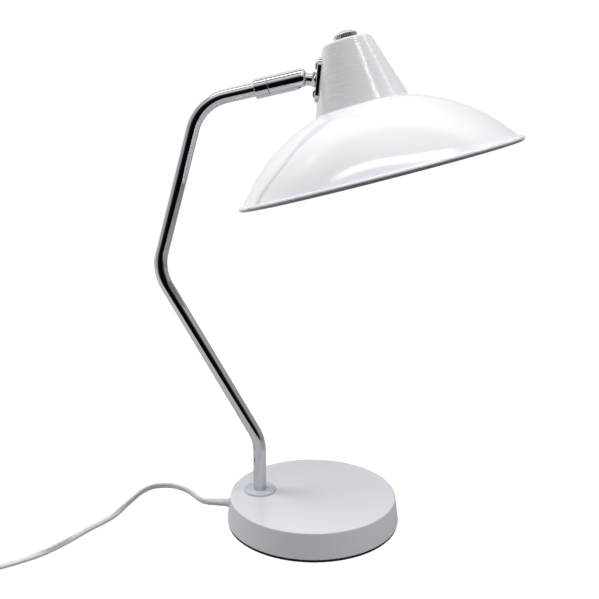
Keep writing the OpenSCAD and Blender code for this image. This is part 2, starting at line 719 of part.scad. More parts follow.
// Round cap with a domed top and fluted side, hollow below to clear the ring nut
module switch_knob() color("silver") in_shade() translate([0, 0, knob_low]) difference() {
  dome_h = knob_h - knob_side_h;
  cap_r = (knob_d * knob_d / 4 + dome_h * dome_h) / (2 * dome_h);
  cap_a = asin(knob_d / 2 / cap_r);
  rotate_extrude() polygon(concat([[0, 0], [knob_d / 2, 0]],
    arc([0, knob_h - cap_r], cap_r, 90 - cap_a, 90, 8)));
  translate([0, 0, -1]) cylinder(h = bush_out + free_gap - knob_gap + 1, r = knob_room_r);
  translate([0, 0, -1]) cylinder(h = spindle_top - knob_low + 1, r = spindle_d / 2 + slide_fit,
    $fn = 48);
  for (i = [1 : knob_flutes]) rotate([0, 0, 360 * i / knob_flutes])
    translate([knob_d / 2 + 0.25, 0, -1]) cylinder(h = knob_side_h + 0.6, r = 0.6, $fn = 16);
}

module switch_spindle() color("goldenrod") in_shade() translate([0, 0, spindle_low])
  cylinder(h = spindle_top - spindle_low - slide_fit, r = spindle_d / 2, $fn = 48);

// Sleeve of the lamp holder, with grip ribs near its mouth
module holder_sleeve() color("ivory") in_shade() translate([0, 0, holder_low]) rotate_extrude()
  polygon([[holder_d / 2 - holder_wall, 0], [holder_d / 2 - 0.6, 0], [holder_d / 2, 0.8],
    [holder_d / 2, 3], [holder_d / 2 - 0.5, 3.5], [holder_d / 2 - 0.5, 6],
    [holder_d / 2, 6.5], [holder_d / 2, holder_len], [holder_d / 2 - holder_wall, holder_len]]);

module holder_core() color("white") in_shade() difference() {
  translate([0, 0, core_low]) cylinder(h = switch_low - core_low, r = core_r);
  translate([0, 0, core_low - 1])
    cylinder(h = well_top - core_low + 1, r = shell_r + shell_wall + slide_fit);
}

module thread_shell() color("goldenrod") in_shade() translate([0, 0, shell_low])
  ring(shell_r + shell_wall, shell_r, lamp_thread_len);

// Bent brass tongue that touches the lamp's tip
module centre_contact() color("goldenrod") in_shade() translate([0, 0, well_top])
  rotate([90, 0, 0]) translate([0, 0, -2]) linear_extrude(4)
    polygon([[-5, -slide_fit], [4, -slide_fit], [4, -0.5], [2.5, -0.5], [-1, -3.6], [-2.6, -3.6],
      [-2.6, -3.1], [-1.2, -3.1], [1.7, -0.5], [-5, -0.5]]);

// Two wires from the stud's bore to the switch housing; f runs from the stud's end to the switch
function lead_x(f) = -mount_r + stud_tail + f * (mount_r - stud_tail - switch_d / 2);
module head_leads() color("white") in_shade() for (y = [-1.4, 1.4])
  swept([[-mount_r - 3, y, mount_h + 1.1], [-mount_r + stud_tail - 2.5, y, mount_h - 1.4],
    [lead_x(0.2), y, mount_h - 2.6], [lead_x(0.48), y, mount_h - 1.6],
    [lead_x(0.63), y, mount_h + 0.8], [lead_x(0.69), y, mount_h + 3.6],
    [lead_x(0.81), y, mount_h + 6.4], [-switch_d / 2 + 0.1, y, mount_h + 7.6]], 1.9, 8);

base_cover();
base_weight();
base_pad();
foot_flange();
stem_tube();
stem_washer();
stem_nut();
stem_lead();
terminal_block();
mains_tail();
cord_gland();
cord();
cord_coil();
cord_tie();
plug();
plug_pins();
arm_collar();
pivot_bush();
ball_socket();
seat_spring();
pressure_seat();
ball_stud();
stud_washer();
stud_nut();
head_bracket();
bracket_screws();
bracket_nuts();
shade();
switch_body();
switch_ring();
holder_sleeve();
holder_core();
thread_shell();
centre_contact();
head_leads();
switch_knob();
switch_spindle();
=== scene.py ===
# %% [markdown]
# # A white work lamp with a ball joint
# This lesson gives a desk lamp its looks: a weighted base, a bent chrome stem, a ball joint and a
# shade of spun steel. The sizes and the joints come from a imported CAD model. It is loaded first,
# as a fixed frame, so that every new piece stands exactly where its CAD piece stands.

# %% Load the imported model
import math

import bmesh
import bpy
import numpy as np
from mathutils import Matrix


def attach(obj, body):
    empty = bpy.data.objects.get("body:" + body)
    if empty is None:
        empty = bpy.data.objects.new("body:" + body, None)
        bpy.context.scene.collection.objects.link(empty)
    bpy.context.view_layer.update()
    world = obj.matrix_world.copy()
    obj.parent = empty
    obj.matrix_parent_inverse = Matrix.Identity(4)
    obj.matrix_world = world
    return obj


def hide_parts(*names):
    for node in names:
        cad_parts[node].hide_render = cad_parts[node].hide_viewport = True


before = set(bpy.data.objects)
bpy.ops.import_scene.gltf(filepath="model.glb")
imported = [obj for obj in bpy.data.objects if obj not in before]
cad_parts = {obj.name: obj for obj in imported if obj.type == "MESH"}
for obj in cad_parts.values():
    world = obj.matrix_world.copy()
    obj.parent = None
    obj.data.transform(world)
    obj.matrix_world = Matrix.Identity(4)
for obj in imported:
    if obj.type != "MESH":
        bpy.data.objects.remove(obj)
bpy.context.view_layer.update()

# %% [markdown]
# ## Camera
# A camera's place can be guessed and nudged, or worked out from known points. Here it was fitted
# to the edges of the base, the stem and the shade's rim, and the numbers below are its result.

# %% Camera
scene = bpy.context.scene
camera_data = bpy.data.cameras.new("photo_camera")
camera_data.sensor_width = 36
camera_data.lens = 44.67
camera = bpy.data.objects.new("photo_camera", camera_data)
camera.location = (0.0554, -0.6479, 0.3381)
camera.rotation_euler = [math.radians(turn) for turn in (78.865, 0, 5.977)]
scene.collection.objects.link(camera)
scene.camera = camera
scene.view_settings.view_transform = "Standard"
print("camera at", tuple(round(x, 3) for x in camera.location))

# %% [markdown]
# ## Grids of points
# Nearly every piece of this lamp is turned, swept or bent, so its surface is a grid: one parameter
# goes along a profile and the other goes round. Blender's own primitives could be stretched into
# such shapes, but a grid says exactly where each point is. Shapes are worked out in millimetres in
# the piece's own frame, and one function puts them where the piece stands.

# %% Grids and frames
mm = 0.001


def unit(v):
    """Each vector divided by its own length."""
    return v / np.linalg.norm(v, axis=-1, keepdims=True)


def lean(angle):
    """Direction in the XZ plane at an angle from the vertical: (sin, 0, cos)."""
    return np.array([math.sin(math.radians(angle)), 0, math.cos(math.radians(angle))])


class Stand:
    """A frame in millimetres: an origin and three directions as the rows of axes."""

    def __init__(self, origin, z, x):
        self.origin = np.asarray(origin, float)
        self.axes = np.array([x, np.cross(z, x), z], float)

    def place(self, points):
        """origin + px * x + py * y + pz * z for each point, turned into metres."""
        return (self.origin + points @ self.axes) * mm


def grid_faces(rows, columns, round_rows=False, round_columns=False, first=0):
    """Four-sided faces of a grid counted row by row. A round direction joins end to start."""
    i, j = np.meshgrid(np.arange(rows if round_rows else rows - 1),
                       np.arange(columns if round_columns else columns - 1), indexing="ij")
    i2, j2 = (i + 1) % rows, (j + 1) % columns
    corners = [i * columns + j, i2 * columns + j, i2 * columns + j2, i * columns + j2]
    return np.stack(corners, -1).reshape(-1, 4) + first


def around_axis(r, a, z):
    """Points x = r cos a, y = r sin a, z = z, for arrays that fit each other."""
    return np.stack(np.broadcast_arrays(r * np.cos(a), r * np.sin(a), z), -1)


def turned(profile, steps=192):
    """A turned surface: each (r, z) of the profile at all angles."""
    r, z = np.asarray(profile, float).T[..., None]
    return around_axis(r, np.linspace(0, 2 * np.pi, steps, endpoint=False), z)


def distance_along(points):
    """How far along its line each point lies: the running sum of the steps' lengths."""
    return np.concatenate([[0], np.cumsum(np.linalg.norm(np.diff(points, axis=0), axis=1))])


def spread(line, count):
    """A line sampled again at even steps along it."""
    along = distance_along(line)
    even = np.linspace(0, along[-1], count)
    return np.stack([np.interp(even, along, values) for values in line.T], 1)


def swept(centre, outline, wide, thin):
    """A profile carried along a line: centre_i + u_j * wide_i + v_j * thin_i for each (u, v)."""
    u, v = outline.T[:, None, :, None]
    return centre[:, None] + u * wide[:, None] + v * thin[:, None]


print("helpers for grids are ready")

# %% [markdown]
# ## From a grid to a piece
# A finished piece has closed seams and poles, faces that look outward, smooth curved faces and
# crisp edges. Doubles are merged first, then the normals are worked out again. The weighted
# normals modifier keeps long flat faces true in a mirror finish, where Blender's plain average
# would bend the reflection near each rounded edge.

# %% Make a piece


def make_piece(name, points, faces, body, finish, slot, instead_of, sharp=38):
    """Builds the mesh, closes it, turns it outward, hangs it on its body and hides the CAD parts
    that it stands for.
    """
    mesh = bpy.data.meshes.new(name)
    mesh.from_pydata(np.concatenate([p.reshape(-1, 3) for p in points]).tolist(), [],
                     [face for group in faces for face in np.asarray(group).tolist()])
    work = bmesh.new()
    work.from_mesh(mesh)
    bmesh.ops.remove_doubles(work, verts=work.verts, dist=2e-7)
    bmesh.ops.recalc_face_normals(work, faces=work.faces)
    work.to_mesh(mesh)
    loose = sum(1 for edge in work.edges if len(edge.link_faces) != 2)
    work.free()
    mesh.shade_smooth()
    mesh.set_sharp_from_angle(angle=math.radians(sharp))
    mesh.materials.append(finish)
    piece = bpy.data.objects.new(name, mesh)
    scene.collection.objects.link(piece)
    even = piece.modifiers.new("even_shading", "WEIGHTED_NORMAL")
    even.keep_sharp = True
    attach(piece, body)
    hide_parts(*instead_of.split())
    print(f"{name}: {len(mesh.polygons)} faces, {loose} open edges")
    return piece


def grid_piece(name, grid, stand, *rest, closed=False, **options):
    """A piece that is one grid of points, round in its columns and, if closed, in its rows."""
    faces = grid_faces(*grid.shape[:2], closed, True)
    return make_piece(name, [stand.place(grid)], [faces], *rest, **options)


def turned_piece(name, profile, stand, *rest, steps=192, **options):
    """A turned piece. A profile that starts and ends on the axis closes itself at its poles."""
    return grid_piece(name, turned(profile, steps), stand, *rest, **options)


# %% [markdown]
# ## Rounded corners
# No edge on a real part is perfectly sharp: sheet is bent round a tool, turned metal is broken
# with a file, and moulds have a radius. A Bevel modifier would do it too. In a profile it costs
# nothing: a corner is swapped for a short arc that touches both its straights.

# %% Rounded profiles


def rounded(corners, steps=6, closed=False):
    """A profile from (r, z, rounding) corners. An arc starts and stops at rounding / tan(half the
    inner angle) from the corner. Its centre is rounding / sin(half) along the angle's middle."""
    corner = np.array([c[:2] for c in corners], float)
    count, points = len(corners), []
    for k, (r, z, rounding) in enumerate(corners):
        if rounding == 0 or (not closed and k in (0, count - 1)):
            points.append(corner[k][None])
            continue
        before, after = unit(corner[k - 1] - corner[k]), unit(corner[(k + 1) % count] - corner[k])
        half = math.acos(np.clip(before @ after, -1, 1)) / 2
        centre = corner[k] + unit(before + after) * rounding / math.sin(half)
        start, stop = (corner[k] + v * rounding / math.tan(half) - centre for v in (before, after))
        t, sweep = np.linspace(0, 1, steps + 1)[:, None], math.pi - 2 * half
        turn = np.sin((1 - t) * sweep) * start + np.sin(t * sweep) * stop
        points.append(centre + turn / math.sin(sweep))
    return np.concatenate(points)


def arc(centre, radius, first, last, steps):
    """Points at an even spacing on a circle, from one angle in degrees to another."""
    a = np.radians(np.linspace(first, last, steps + 1))
    return np.array(centre) + radius * np.stack([np.cos(a), np.sin(a)], 1)


# %% [markdown]
# ## Sizes and frames of this lamp
# The stem is a bent tube in the XZ plane. Its corners give the arm, the arm gives the ball, and
# the ball gives the shade. Working them out from the few real sizes keeps every piece in line.

# %% Sizes and frames
tube_r, bend_r = 6.0, 40.0
foot = np.array([-50.0, 0, 0])
corner_1 = foot + [0, 0, 76]
corner_2 = corner_1 + 183 * lean(-30)
corner_3 = corner_2 + 152.5 * lean(16)
arm_way = lean(78)
ball_at = 90.2
ball_centre = corner_3 + ball_at * arm_way
rim_r, bead_r = 120.8, 2.2
dome_edge_r, neck_foot_r, neck_foot_z = 119.7, 40.3, 57.45
neck_top_r, shade_h, shade_wall = 20.3, 113.0, 1.0
dome_z = (neck_foot_r ** 2 + neck_foot_z ** 2 - dome_edge_r ** 2) / (2 * neck_foot_z)
dome_r = math.hypot(dome_edge_r, dome_z)
neck_slope = (neck_foot_r - neck_top_r) / (shade_h - neck_foot_z)
neck_lean = math.degrees(math.atan(neck_slope))
sin_n, cos_n = math.sin(math.radians(neck_lean)), math.cos(math.radians(neck_lean))
tilt, mount_z, stud_len = 14.5, 88.0, 15.8
mount_r = neck_top_r + (shade_h - mount_z) * neck_slope
stud_way = lean(90 + neck_lean - tilt)
up_shade, out_shade = lean(-tilt), lean(90 - tilt)
mount = ball_centre + stud_len * stud_way
shade_origin = mount + mount_r * out_shade - mount_z * up_shade

world = Stand((0, 0, 0), (0, 0, 1), (1, 0, 0))
at_foot = Stand(foot, (0, 0, 1), (1, 0, 0))
along_arm = Stand(corner_3, arm_way, lean(168))
in_shade = Stand(shade_origin, up_shade, out_shade)
at_mount = Stand(mount, -stud_way, lean(neck_lean - tilt))
print("ball", ball_centre.round(2), "shade", shade_origin.round(2), "dome radius", round(dome_r, 2))

# %% [markdown]
# ## Colours and nodes
# Colours are written as sRGB hex values, as a paint card or a picture editor gives them, and one
# function turns them linear, which is what Blender's light works with. One more function adds a
# node with its settings and links, so that each material reads like a recipe.

# %% Colours and nodes


def linear(hex_value):
    """sRGB to linear: c / 12.92 below 0.04045, else ((c + 0.055) / 1.055) ** 2.4."""
    c = np.array([int(hex_value[i:i + 2], 16) / 255 for i in (1, 3, 5)])
    return (*np.where(c < 0.04045, c / 12.92, ((c + 0.055) / 1.055) ** 2.4), 1.0)


def add(tree, kind, links=(), **settings):
    """Adds one shader node. links are the inputs' values, as a list in the node's own order or as
    a dict. A value is a number, another node's output, or a node, for its first output."""
    node = tree.nodes.new("ShaderNode" + kind)
    for key, value in settings.items():
        setattr(node, key, value)
    for key, value in links.items() if isinstance(links, dict) else enumerate(links):
        if isinstance(value, bpy.types.Node):
            value = value.outputs[0]
        if isinstance(value, bpy.types.NodeSocket):
            tree.links.new(value, node.inputs[key])
        else:
            node.inputs[key].default_value = value
    return node


def finish(name, colour, roughness, metallic=0.0):
    """A material with one Principled BSDF, whose constants are set on its own sockets."""
    made = bpy.data.materials.new(name)
    made.use_nodes = True
    shader = made.node_tree.nodes["Principled BSDF"]
    shader.inputs["Base Color"].default_value = linear(colour)
    shader.inputs["Roughness"].default_value = roughness
    shader.inputs["Metallic"].default_value = metallic
    made.diffuse_color = linear(colour)
    place = add(made.node_tree, "TexCoord").outputs["Object"]
    return made, made.node_tree, shader, place


def bumped(tree, shader, place, scale, detail, strength, depth, **below):
    """A noise as a bump in the surface: scale in grains a metre, depth in metres."""
    grain = add(tree, "TexNoise", {"Vector": place, "Scale": scale, "Detail": detail})
    bump = add(tree, "Bump", {"Height": grain, "Strength": strength, "Distance": depth, **below})
    tree.links.new(bump.outputs["Normal"], shader.inputs["Normal"])


def drifting(tree, shader, place, scale, detail, low, high, first=0.0, last=1.0):
    """A roughness that drifts between low and high in soft patches, scale of them a metre."""
    cloud = add(tree, "TexNoise", {"Vector": place, "Scale": scale, "Detail": detail})
    patches = add(tree, "MapRange", [cloud, first, last, low, high])
    tree.links.new(patches.outputs["Result"], shader.inputs["Roughness"])


smooth = {"interpolation_type": "SMOOTHSTEP"}
print("helpers for nodes are ready")

# %% [markdown]
# ## Enamel
# The shade is sheet steel that was spun on a lathe and then stoved in gloss enamel. The enamel is
# a smooth, hard, slightly cool white: it gives sharp soft-edged highlights over an even body
# colour, with the faintest orange peel. On the neck the spinning roller's rings still show
# through, so they are a stretched noise in the shade's own frame: close together along its axis,
# slow across it. The real rings are about half a millimetre apart, and they are drawn twice as
# coarse to show. The neck's colour is a little greyer: painted shade, for the dimmer light on the
# neck. The underside of the rolled rim is painted grey as well: painted shade under the bead.

# %% Gloss enamel
# The two darker whites after the enamel's own are painted shade: one for the neck, one for the
# rim's underside.
enamel_white, neck_painted_shade, rim_painted_shade = "#EEEEF3", "#E1E1E6", "#A2A3A8"
enamel, tree, shader, place = finish("gloss_enamel_white", enamel_white, 0.07)
own = add(tree, "Mapping", {"Vector": place, "Location": shade_origin * mm,
                            "Rotation": (0, -math.radians(tilt), 0)}, vector_type="TEXTURE")
height = add(tree, "SeparateXYZ", [own]).outputs["Z"]
# This mask marks the neck: it carries the spun rings and the neck's painted shade.
on_neck = add(tree, "MapRange", [height, 0.056, 0.060], **smooth)
stretch = add(tree, "Mapping", {"Vector": own, "Scale": (60, 60, 900)})
rings = add(tree, "TexNoise", {"Vector": stretch, "Scale": 1.0, "Detail": 2.0})
rings_here = add(tree, "Math", [rings, on_neck], operation="MULTIPLY")
ring_bump = add(tree, "Bump", {"Height": rings_here, "Strength": 1.0, "Distance": 0.00026})
bumped(tree, shader, place, 260.0, 1.0, strength=0.12, depth=0.00005, Normal=ring_bump)
drifting(tree, shader, place, scale=22.0, detail=4.0, low=0.05, high=0.10)
# Below the rim plane, on the bead's underside, the colour gets painted shade.
under = add(tree, "MapRange", [height, 0.0006, -0.0004], **smooth)
coat = linear(enamel_white)
# Painted shade is mixed into the enamel's colour here, on the neck and under the rim.
for share, tone in ((on_neck, neck_painted_shade), (under, rim_painted_shade)):
    mix = add(tree, "Mix", {0: share, 6: coat, 7: linear(tone)}, data_type="RGBA")
    coat = mix.outputs[2]  # sockets 6 and 7 are the two colours, 2 is the mixed one
tree.links.new(coat, shader.inputs["Base Color"])
print(enamel.name, "has", len(tree.nodes), "nodes")

# %% [markdown]
# ## Satin paint of the base
# The base cover is pressed sheet steel in a satin powder coat. The powder melts into rolling bumps
# about 0.7 mm wide, 1400 to the metre, so its highlights are broad and soft, and its sides go
# evenly grey where they turn from the light. The disc at the stem's foot wears the same paint; its
# cooler, darker grey here is painted shade, and it stands off from the cover.

# %% Satin powder coat
base_paint, tree, shader, place = finish("satin_powder_coat_white", "#E9EAF0", 0.30)
bumped(tree, shader, place, scale=1400.0, detail=3.0, strength=0.20, depth=0.00008)
drifting(tree, shader, place, scale=18.0, detail=5.0, low=0.25, high=0.36)
# The disc's cooler, darker copy of the base paint is painted shade.
disc_painted_shade, tree, shader, place = finish("base_paint_painted_shade", "#D1D5DF", 0.28)
bumped(tree, shader, place, scale=1400.0, detail=3.0, strength=0.20, depth=0.00005)
print("paints:", base_paint.name, disc_painted_shade.name)

# %% [markdown]
# ## Chrome
# The stem, the sleeves, the ball and the bracket are plated with bright chrome over nickel. Chrome
# has almost no colour of its own: what the eye reads is the studio in it. So the material is a
# clean metal with a faint film of handling that softens the mirror in patches of about two
# centimetres.

# %% Bright chrome
chrome, tree, shader, place = finish("bright_chrome_plate", "#C9CACE", 0.035, 1.0)
drifting(tree, shader, place, scale=45.0, detail=6.0, low=0.01, high=0.045, first=0.35, last=0.75)
bumped(tree, shader, place, scale=900.0, detail=2.0, strength=0.05, depth=0.00002)
print(chrome.name, "has", len(tree.nodes), "nodes")

# %% [markdown]
# ## The lesser metals
# Nuts and washers are zinc plated: a greyer, softer metal with cloudy crystals. The threaded
# shell, the bush and the contacts are brass. The weight is a rough iron casting. They are mostly
# hidden, but they show when the lamp is tipped over or taken apart.

# %% Zinc, brass and cast iron


def clouded(name, dark, light, roughness, metallic, grain_mm, depth_mm):
    """A finish whose colour drifts between two tones, over a bump of a given grain and depth."""
    made, tree, shader, place = finish(name, light, roughness, metallic)
    cloud = add(tree, "TexNoise", {"Vector": place, "Scale": 160.0, "Detail": 5.0})
    ramp = add(tree, "ValToRGB", [cloud])
    for element, position, tone in zip(ramp.color_ramp.elements, (0.38, 0.62), (dark, light)):
        element.position, element.color = position, linear(tone)
    tree.links.new(ramp.outputs["Color"], shader.inputs["Base Color"])
    bumped(tree, shader, place, 1 / (grain_mm * mm), 3.0, 0.6, depth_mm * mm)
    return made


zinc = clouded("zinc_plated_steel", "#A9ACB0", "#CDD0D4", 0.32, 1.0, 0.6, 0.01)
# A darker copy of the chrome, for the screw heads: painted shade and painted dark reflection.
chrome_painted_dark = clouded("chrome_with_painted_shade", "#66686D", "#7E8085", 0.20, 1.0, 0.8, 0.004)
# A darker copy of the brass, for the bush inside the sleeves: painted shade.
brass_painted_shade = clouded("brass_painted_shade", "#4A3A1E", "#6B5530", 0.45, 1.0, 0.5, 0.01)
brass = clouded("machined_brass", "#B88F45", "#D8B56C", 0.26, 1.0, 0.5, 0.01)
cast_iron = clouded("black_cast_iron", "#2C2C2E", "#47474A", 0.68, 0.6, 1.1, 0.12)
print("lesser metals:", zinc.name, brass.name, cast_iron.name)

# %% [markdown]
# ## Plastics, rubber and porcelain
# The cord's jacket and the moulded plug are soft white PVC with a low sheen. The lamp holder is
# ivory thermoset with a porcelain core. The pad under the base is black foam rubber. Each has a
# fine texture from its mould or its cut, at the size that such parts have.

# %% Plastics, rubber and porcelain
pvc_jacket = clouded("soft_pvc_jacket", "#E4E4E6", "#ECECEE", 0.42, 0.0, 0.5, 0.02)
moulded_pvc = clouded("moulded_pvc_white", "#E2E2E4", "#EAEAEC", 0.46, 0.0, 0.35, 0.03)
ivory_thermoset = clouded("ivory_thermoset", "#E3DBC6", "#EEE7D6", 0.38, 0.0, 0.4, 0.02)
porcelain = clouded("glazed_porcelain", "#EFECE3", "#F5F3EC", 0.14, 0.0, 2.5, 0.03)
foam_rubber = clouded("black_foam_rubber", "#060607", "#0E0E10", 0.92, 0.0, 0.4, 0.10)
nylon_strap = clouded("grey_nylon_strap", "#3B3C40", "#55565A", 0.62, 0.0, 0.5, 0.15)
print("plastics are ready")

# %% [markdown]
# ## Mains cord
# The cord is a flat lead of two cores, 5.4 mm wide and 3.4 mm thick, and 1.8 m long. It leaves the
# base level, sinks to the table in a loose bend and runs out of the picture on the left. What the
# picture doesn't show is wound into a round coil with its plug beside it. A curve with a bevel
# object could draw it, but a flat lead twists as it lies: it leaves the base on edge, tips flat,
# and stands up again. So its profile is carried along the line and turned by an angle that changes
# with the distance. Where it lies flat its middle is lower, so that its underside stays on the
# table.

# %% Line of the cord
outlet = (-0.10069, 0.0, 0.011)
route = np.array([
    outlet, (-0.1045, 0.0005, 0.011), (-0.109, 0.004, 0.0108), (-0.116, 0.012, 0.0104),
    (-0.126, 0.023, 0.010), (-0.143, 0.034, 0.009), (-0.158, 0.038, 0.007),
    (-0.168, 0.035, 0.0058), (-0.175, 0.026, 0.0046), (-0.179, 0.013, 0.0037),
    (-0.183, -0.004, 0.003), (-0.187, -0.020, 0.0027), (-0.193, -0.033, 0.0027),
    (-0.200, -0.045, 0.0027), (-0.206, -0.058, 0.0027), (-0.211, -0.070, 0.0027),
    (-0.216, -0.080, 0.0027), (-0.222, -0.089, 0.0027), (-0.230, -0.098, 0.0027),
    (-0.240, -0.107, 0.0027), (-0.251, -0.116, 0.0028), (-0.262, -0.126, 0.0031)])
cord_width, core_r, core_gap = 5.4, 1.7, 1.0
coil_centre, coil_in_r, turn_step, turns = np.array([-311.0, -115.0]), 20.4375, 6.0, 7.375
coil_z, layer, plug_z = 2.5, 3.6, 6.85


def ease(t):
    """Smooth step: 0 below 0, 1 above 1, and t * t * (3 - 2 t) between."""
    t = np.clip(t, 0, 1)
    return t * t * (3 - 2 * t)


def coil_point(k):
    """Point after k turns: the radius shrinks by one step a turn to the middle turn and grows
    again, while the height climbs one flat lead's thickness there."""
    a, middle = np.radians(-45 - 360 * k), k - turns / 2
    r = coil_in_r + turn_step * abs(middle)
    return np.stack([coil_centre[0] + r * np.cos(a), coil_centre[1] + r * np.sin(a),
                     coil_z + layer * ease(middle / 0.5 + 0.5)], -1) * mm


def smooth_line(points, step):
    """Catmull-Rom: a cubic between each two points, whose end directions are half of the way from
    the point before to the point after. It comes back at even steps of about the given size."""
    p = np.vstack([2 * points[0] - points[1], points, 2 * points[-1] - points[-2]])
    a, b, c, d = (p[i:len(p) - 3 + i, None] for i in range(4))
    t = np.linspace(0, 1, 16, endpoint=False)[None, :, None]
    fine = 0.5 * (2 * b + (c - a) * t + (2 * a - 5 * b + 4 * c - d) * t ** 2
                  + (3 * b - a - 3 * c + d) * t ** 3)
    fine = np.vstack([fine.reshape(-1, 3), points[-1]])
    return spread(fine, round(distance_along(fine)[-1] / step) + 1)


def twist(along_mm):
    """Angle of the lead's width above the level, in radians: on edge at the outlet, nearly flat
    from 146 to 188 mm, nearly on edge again from 200 to 214 mm, and flat from 236 mm on."""
    knots = [0, 118, 146, 188, 200, 214, 236, 2000]
    return np.radians(np.interp(along_mm, knots, [90, 90, 8, 8, 75, 75, 0, 0]))


way_in = np.array([-math.sin(math.radians(45)), -math.cos(math.radians(45)), 0])
coil_start = coil_point(0.0) - cord_width * mm * way_in
coil_line = coil_point(np.arange(0, turns, 1 / 48))
tail_s = np.array([0.0, 5, 10, 15, 20, 26])[:, None]
coil_out = coil_point(turns)
tail = coil_out + tail_s * [0, mm, 0] + ease(tail_s / 20.6) * [0, 0, plug_z * mm - coil_out[2]]
up_1_mm, back_5_mm = np.array([0, 0, 0.001]), -0.005 * way_in
low_route = np.vstack([route, coil_start + up_1_mm + back_5_mm, coil_start + up_1_mm])
low_route[:, 2] -= (1 - np.sin(twist(distance_along(low_route) / mm))) * core_gap * mm
cord_line = smooth_line(np.vstack([low_route, coil_line, tail]), 0.002)
cord_along = distance_along(cord_line)
print("cord line:", len(cord_line), "points,", round(cord_along[-1], 3), "m")

# %% [markdown]
# ### The cord's profile
# Two cores lie side by side in one jacket, so the profile is two circles that overlap, with a
# shallow groove above and below. Each ring of points stands square to the line.

# %% Cord
lobe = np.radians(np.linspace(-120, 120, 13))
right = np.stack([core_gap + core_r * np.cos(lobe), core_r * np.sin(lobe)], 1)
cord_outline = np.vstack([right, -right]) * mm
onward = unit(np.gradient(cord_line, axis=0))
level = unit(np.cross(onward, [0, 0, 1.0]))
upward = np.cross(level, onward)
turn = twist(cord_along / mm)[:, None]
cord_grid = swept(cord_line, cord_outline, np.cos(turn) * level + np.sin(turn) * upward,
                  np.cos(turn) * upward - np.sin(turn) * level)
ring_size = len(cord_outline)
last_ring = (len(cord_line) - 1) * ring_size + np.arange(ring_size)
mains_cord = make_piece("mains_cord", [cord_grid],
                        [grid_faces(len(cord_line), ring_size, round_columns=True),
                         [np.arange(ring_size)[::-1].tolist()], [last_ring.tolist()]],
                        "stand", pvc_jacket, "cord", "cord cord_coil", sharp=60)

# %% [markdown]
# ### Outlet, tie and plug
# The cord comes out through a moulded sleeve that tapers and has rings cut into it, so that it
# bends softly and never kinks at the wall. A strap holds the coil, and a flat two-pin plug ends
# the lead. The plug's body keeps its CAD shape, merged and smoothed. The pins are turned again:
# their inner half is an insulating sleeve, a little thinner than the bare tip.

# %% Outlet sleeve
cover_r, cover_foot_z, outlet_z, side_slope = 80, 2.5, 11, 3 / 23
wall_x = cover_r - (outlet_z - cover_foot_z) * side_slope
at_outlet = Stand((-wall_x, 0, outlet_z), (-1, 0, 0), (0, 0, 1))
slots = [[(3.55 - 0.45 * k / 6 - cut, 3.6 + 2.7 * k + dz, 0.15) for cut, dz in
          ((0, 0), (0.4, 0.15), (0.4, 0.95), (0, 1.1))] for k in range(6)]
sleeve_line = [(2.72, -3.0, 0), (4.2, -3.0, 0.3), (4.2, -1.9, 0.2), (3.4, -1.5, 0), (3.4, 0.6, 0),
               (4.4, 0.6, 0.2), (4.4, 2.1, 0.6), (3.75, 2.5, 0.3)]
sleeve_line += [corner for slot in slots for corner in slot] + [(3.08, 21.8, 0.25), (2.72, 21.8, 0)]
outlet_sleeve = turned_piece("outlet_sleeve", rounded(sleeve_line, 3, closed=True), at_outlet,
                             "stand", moulded_pvc, "cord_parts", "cord_gland",
                             closed=True, steps=64)

# %% Coil strap
slack, strap_a = 0.3, math.radians(-100)
inner = coil_in_r + turn_step * 0.15 - cord_width / 2 - slack
outer = coil_in_r + turn_step * turns / 2 + cord_width / 2 + slack
across = np.array([math.cos(strap_a), math.sin(strap_a), 0])
along = np.array([-math.sin(strap_a), math.cos(strap_a), 0])
strap_t, strap_h, strap_bend = 0.6, 8.6, 1.6
strap = rounded([(inner - strap_t, 0.0, strap_bend), (outer + strap_t, 0.0, strap_bend),
                 (outer + strap_t, strap_h, strap_bend), (inner - strap_t, strap_h, strap_bend)],
                5, closed=True)
middle = strap.mean(axis=0)
inside = middle + (strap - middle) * (1 - np.array([1.1, 1.1]) / (strap.max(axis=0) - middle) / 2)
loops = np.stack([strap, strap, inside, inside], 1)
side = np.array([-2.5, 2.5, 2.5, -2.5])
strap_grid = (loops[..., :1] * across + loops[..., 1:] * [0, 0, 1] + side[None, :, None] * along
              + [*coil_centre, 0]) * mm
coil_strap = make_piece("coil_strap", [strap_grid], [grid_faces(len(strap), 4, True, True)],
                        "stand", nylon_strap, "tie", "cord_tie")

# %% Plug and pins


def merged_copy(node, name, body, material, slot, sharp=32):
    """A CAD node's loose triangles, merged and smoothed in a copy that stands for it."""
    source = bpy.data.objects[node].data
    points = np.empty(len(source.vertices) * 3)
    source.vertices.foreach_get("co", points)
    faces = np.array([list(p.vertices) for p in source.polygons])
    return make_piece(name, [points.reshape(-1, 3)], [faces], body, material, slot, node, sharp)


plug_body = merged_copy("plug", "plug_body", "stand", moulded_pvc, "cord_parts")
plug_y, insulated_part, pin_side = -40.0, 9.7, 9.3
at_plug = Stand((-353.5625, plug_y, plug_z), (0, 1, 0), (1, 0, 0))
pin_line = rounded([(0, -2, 0), (1.85, -2, 0), (1.85, 9.6, 0.2), (2.0, 9.8, 0.1),
                    (2.0, 17.2, 0.5), (1.0, 19.0, 0.8), (0, 19.0, 0)], 4)
pin_grids = [turned(pin_line, 32) + [side, 0, 0] for side in (-pin_side, pin_side)]
pin_faces = [grid_faces(len(pin_line), 32, round_columns=True, first=k * len(pin_line) * 32)
             for k in (0, 1)]
plug_pins = make_piece("two_plug_pins", [at_plug.place(g) for g in pin_grids], pin_faces,
                       "stand", zinc, "steel", "plug_pins")
plug_pins.data.materials.append(moulded_pvc)
middle = np.empty(len(plug_pins.data.polygons) * 3)
plug_pins.data.polygons.foreach_get("center", middle)
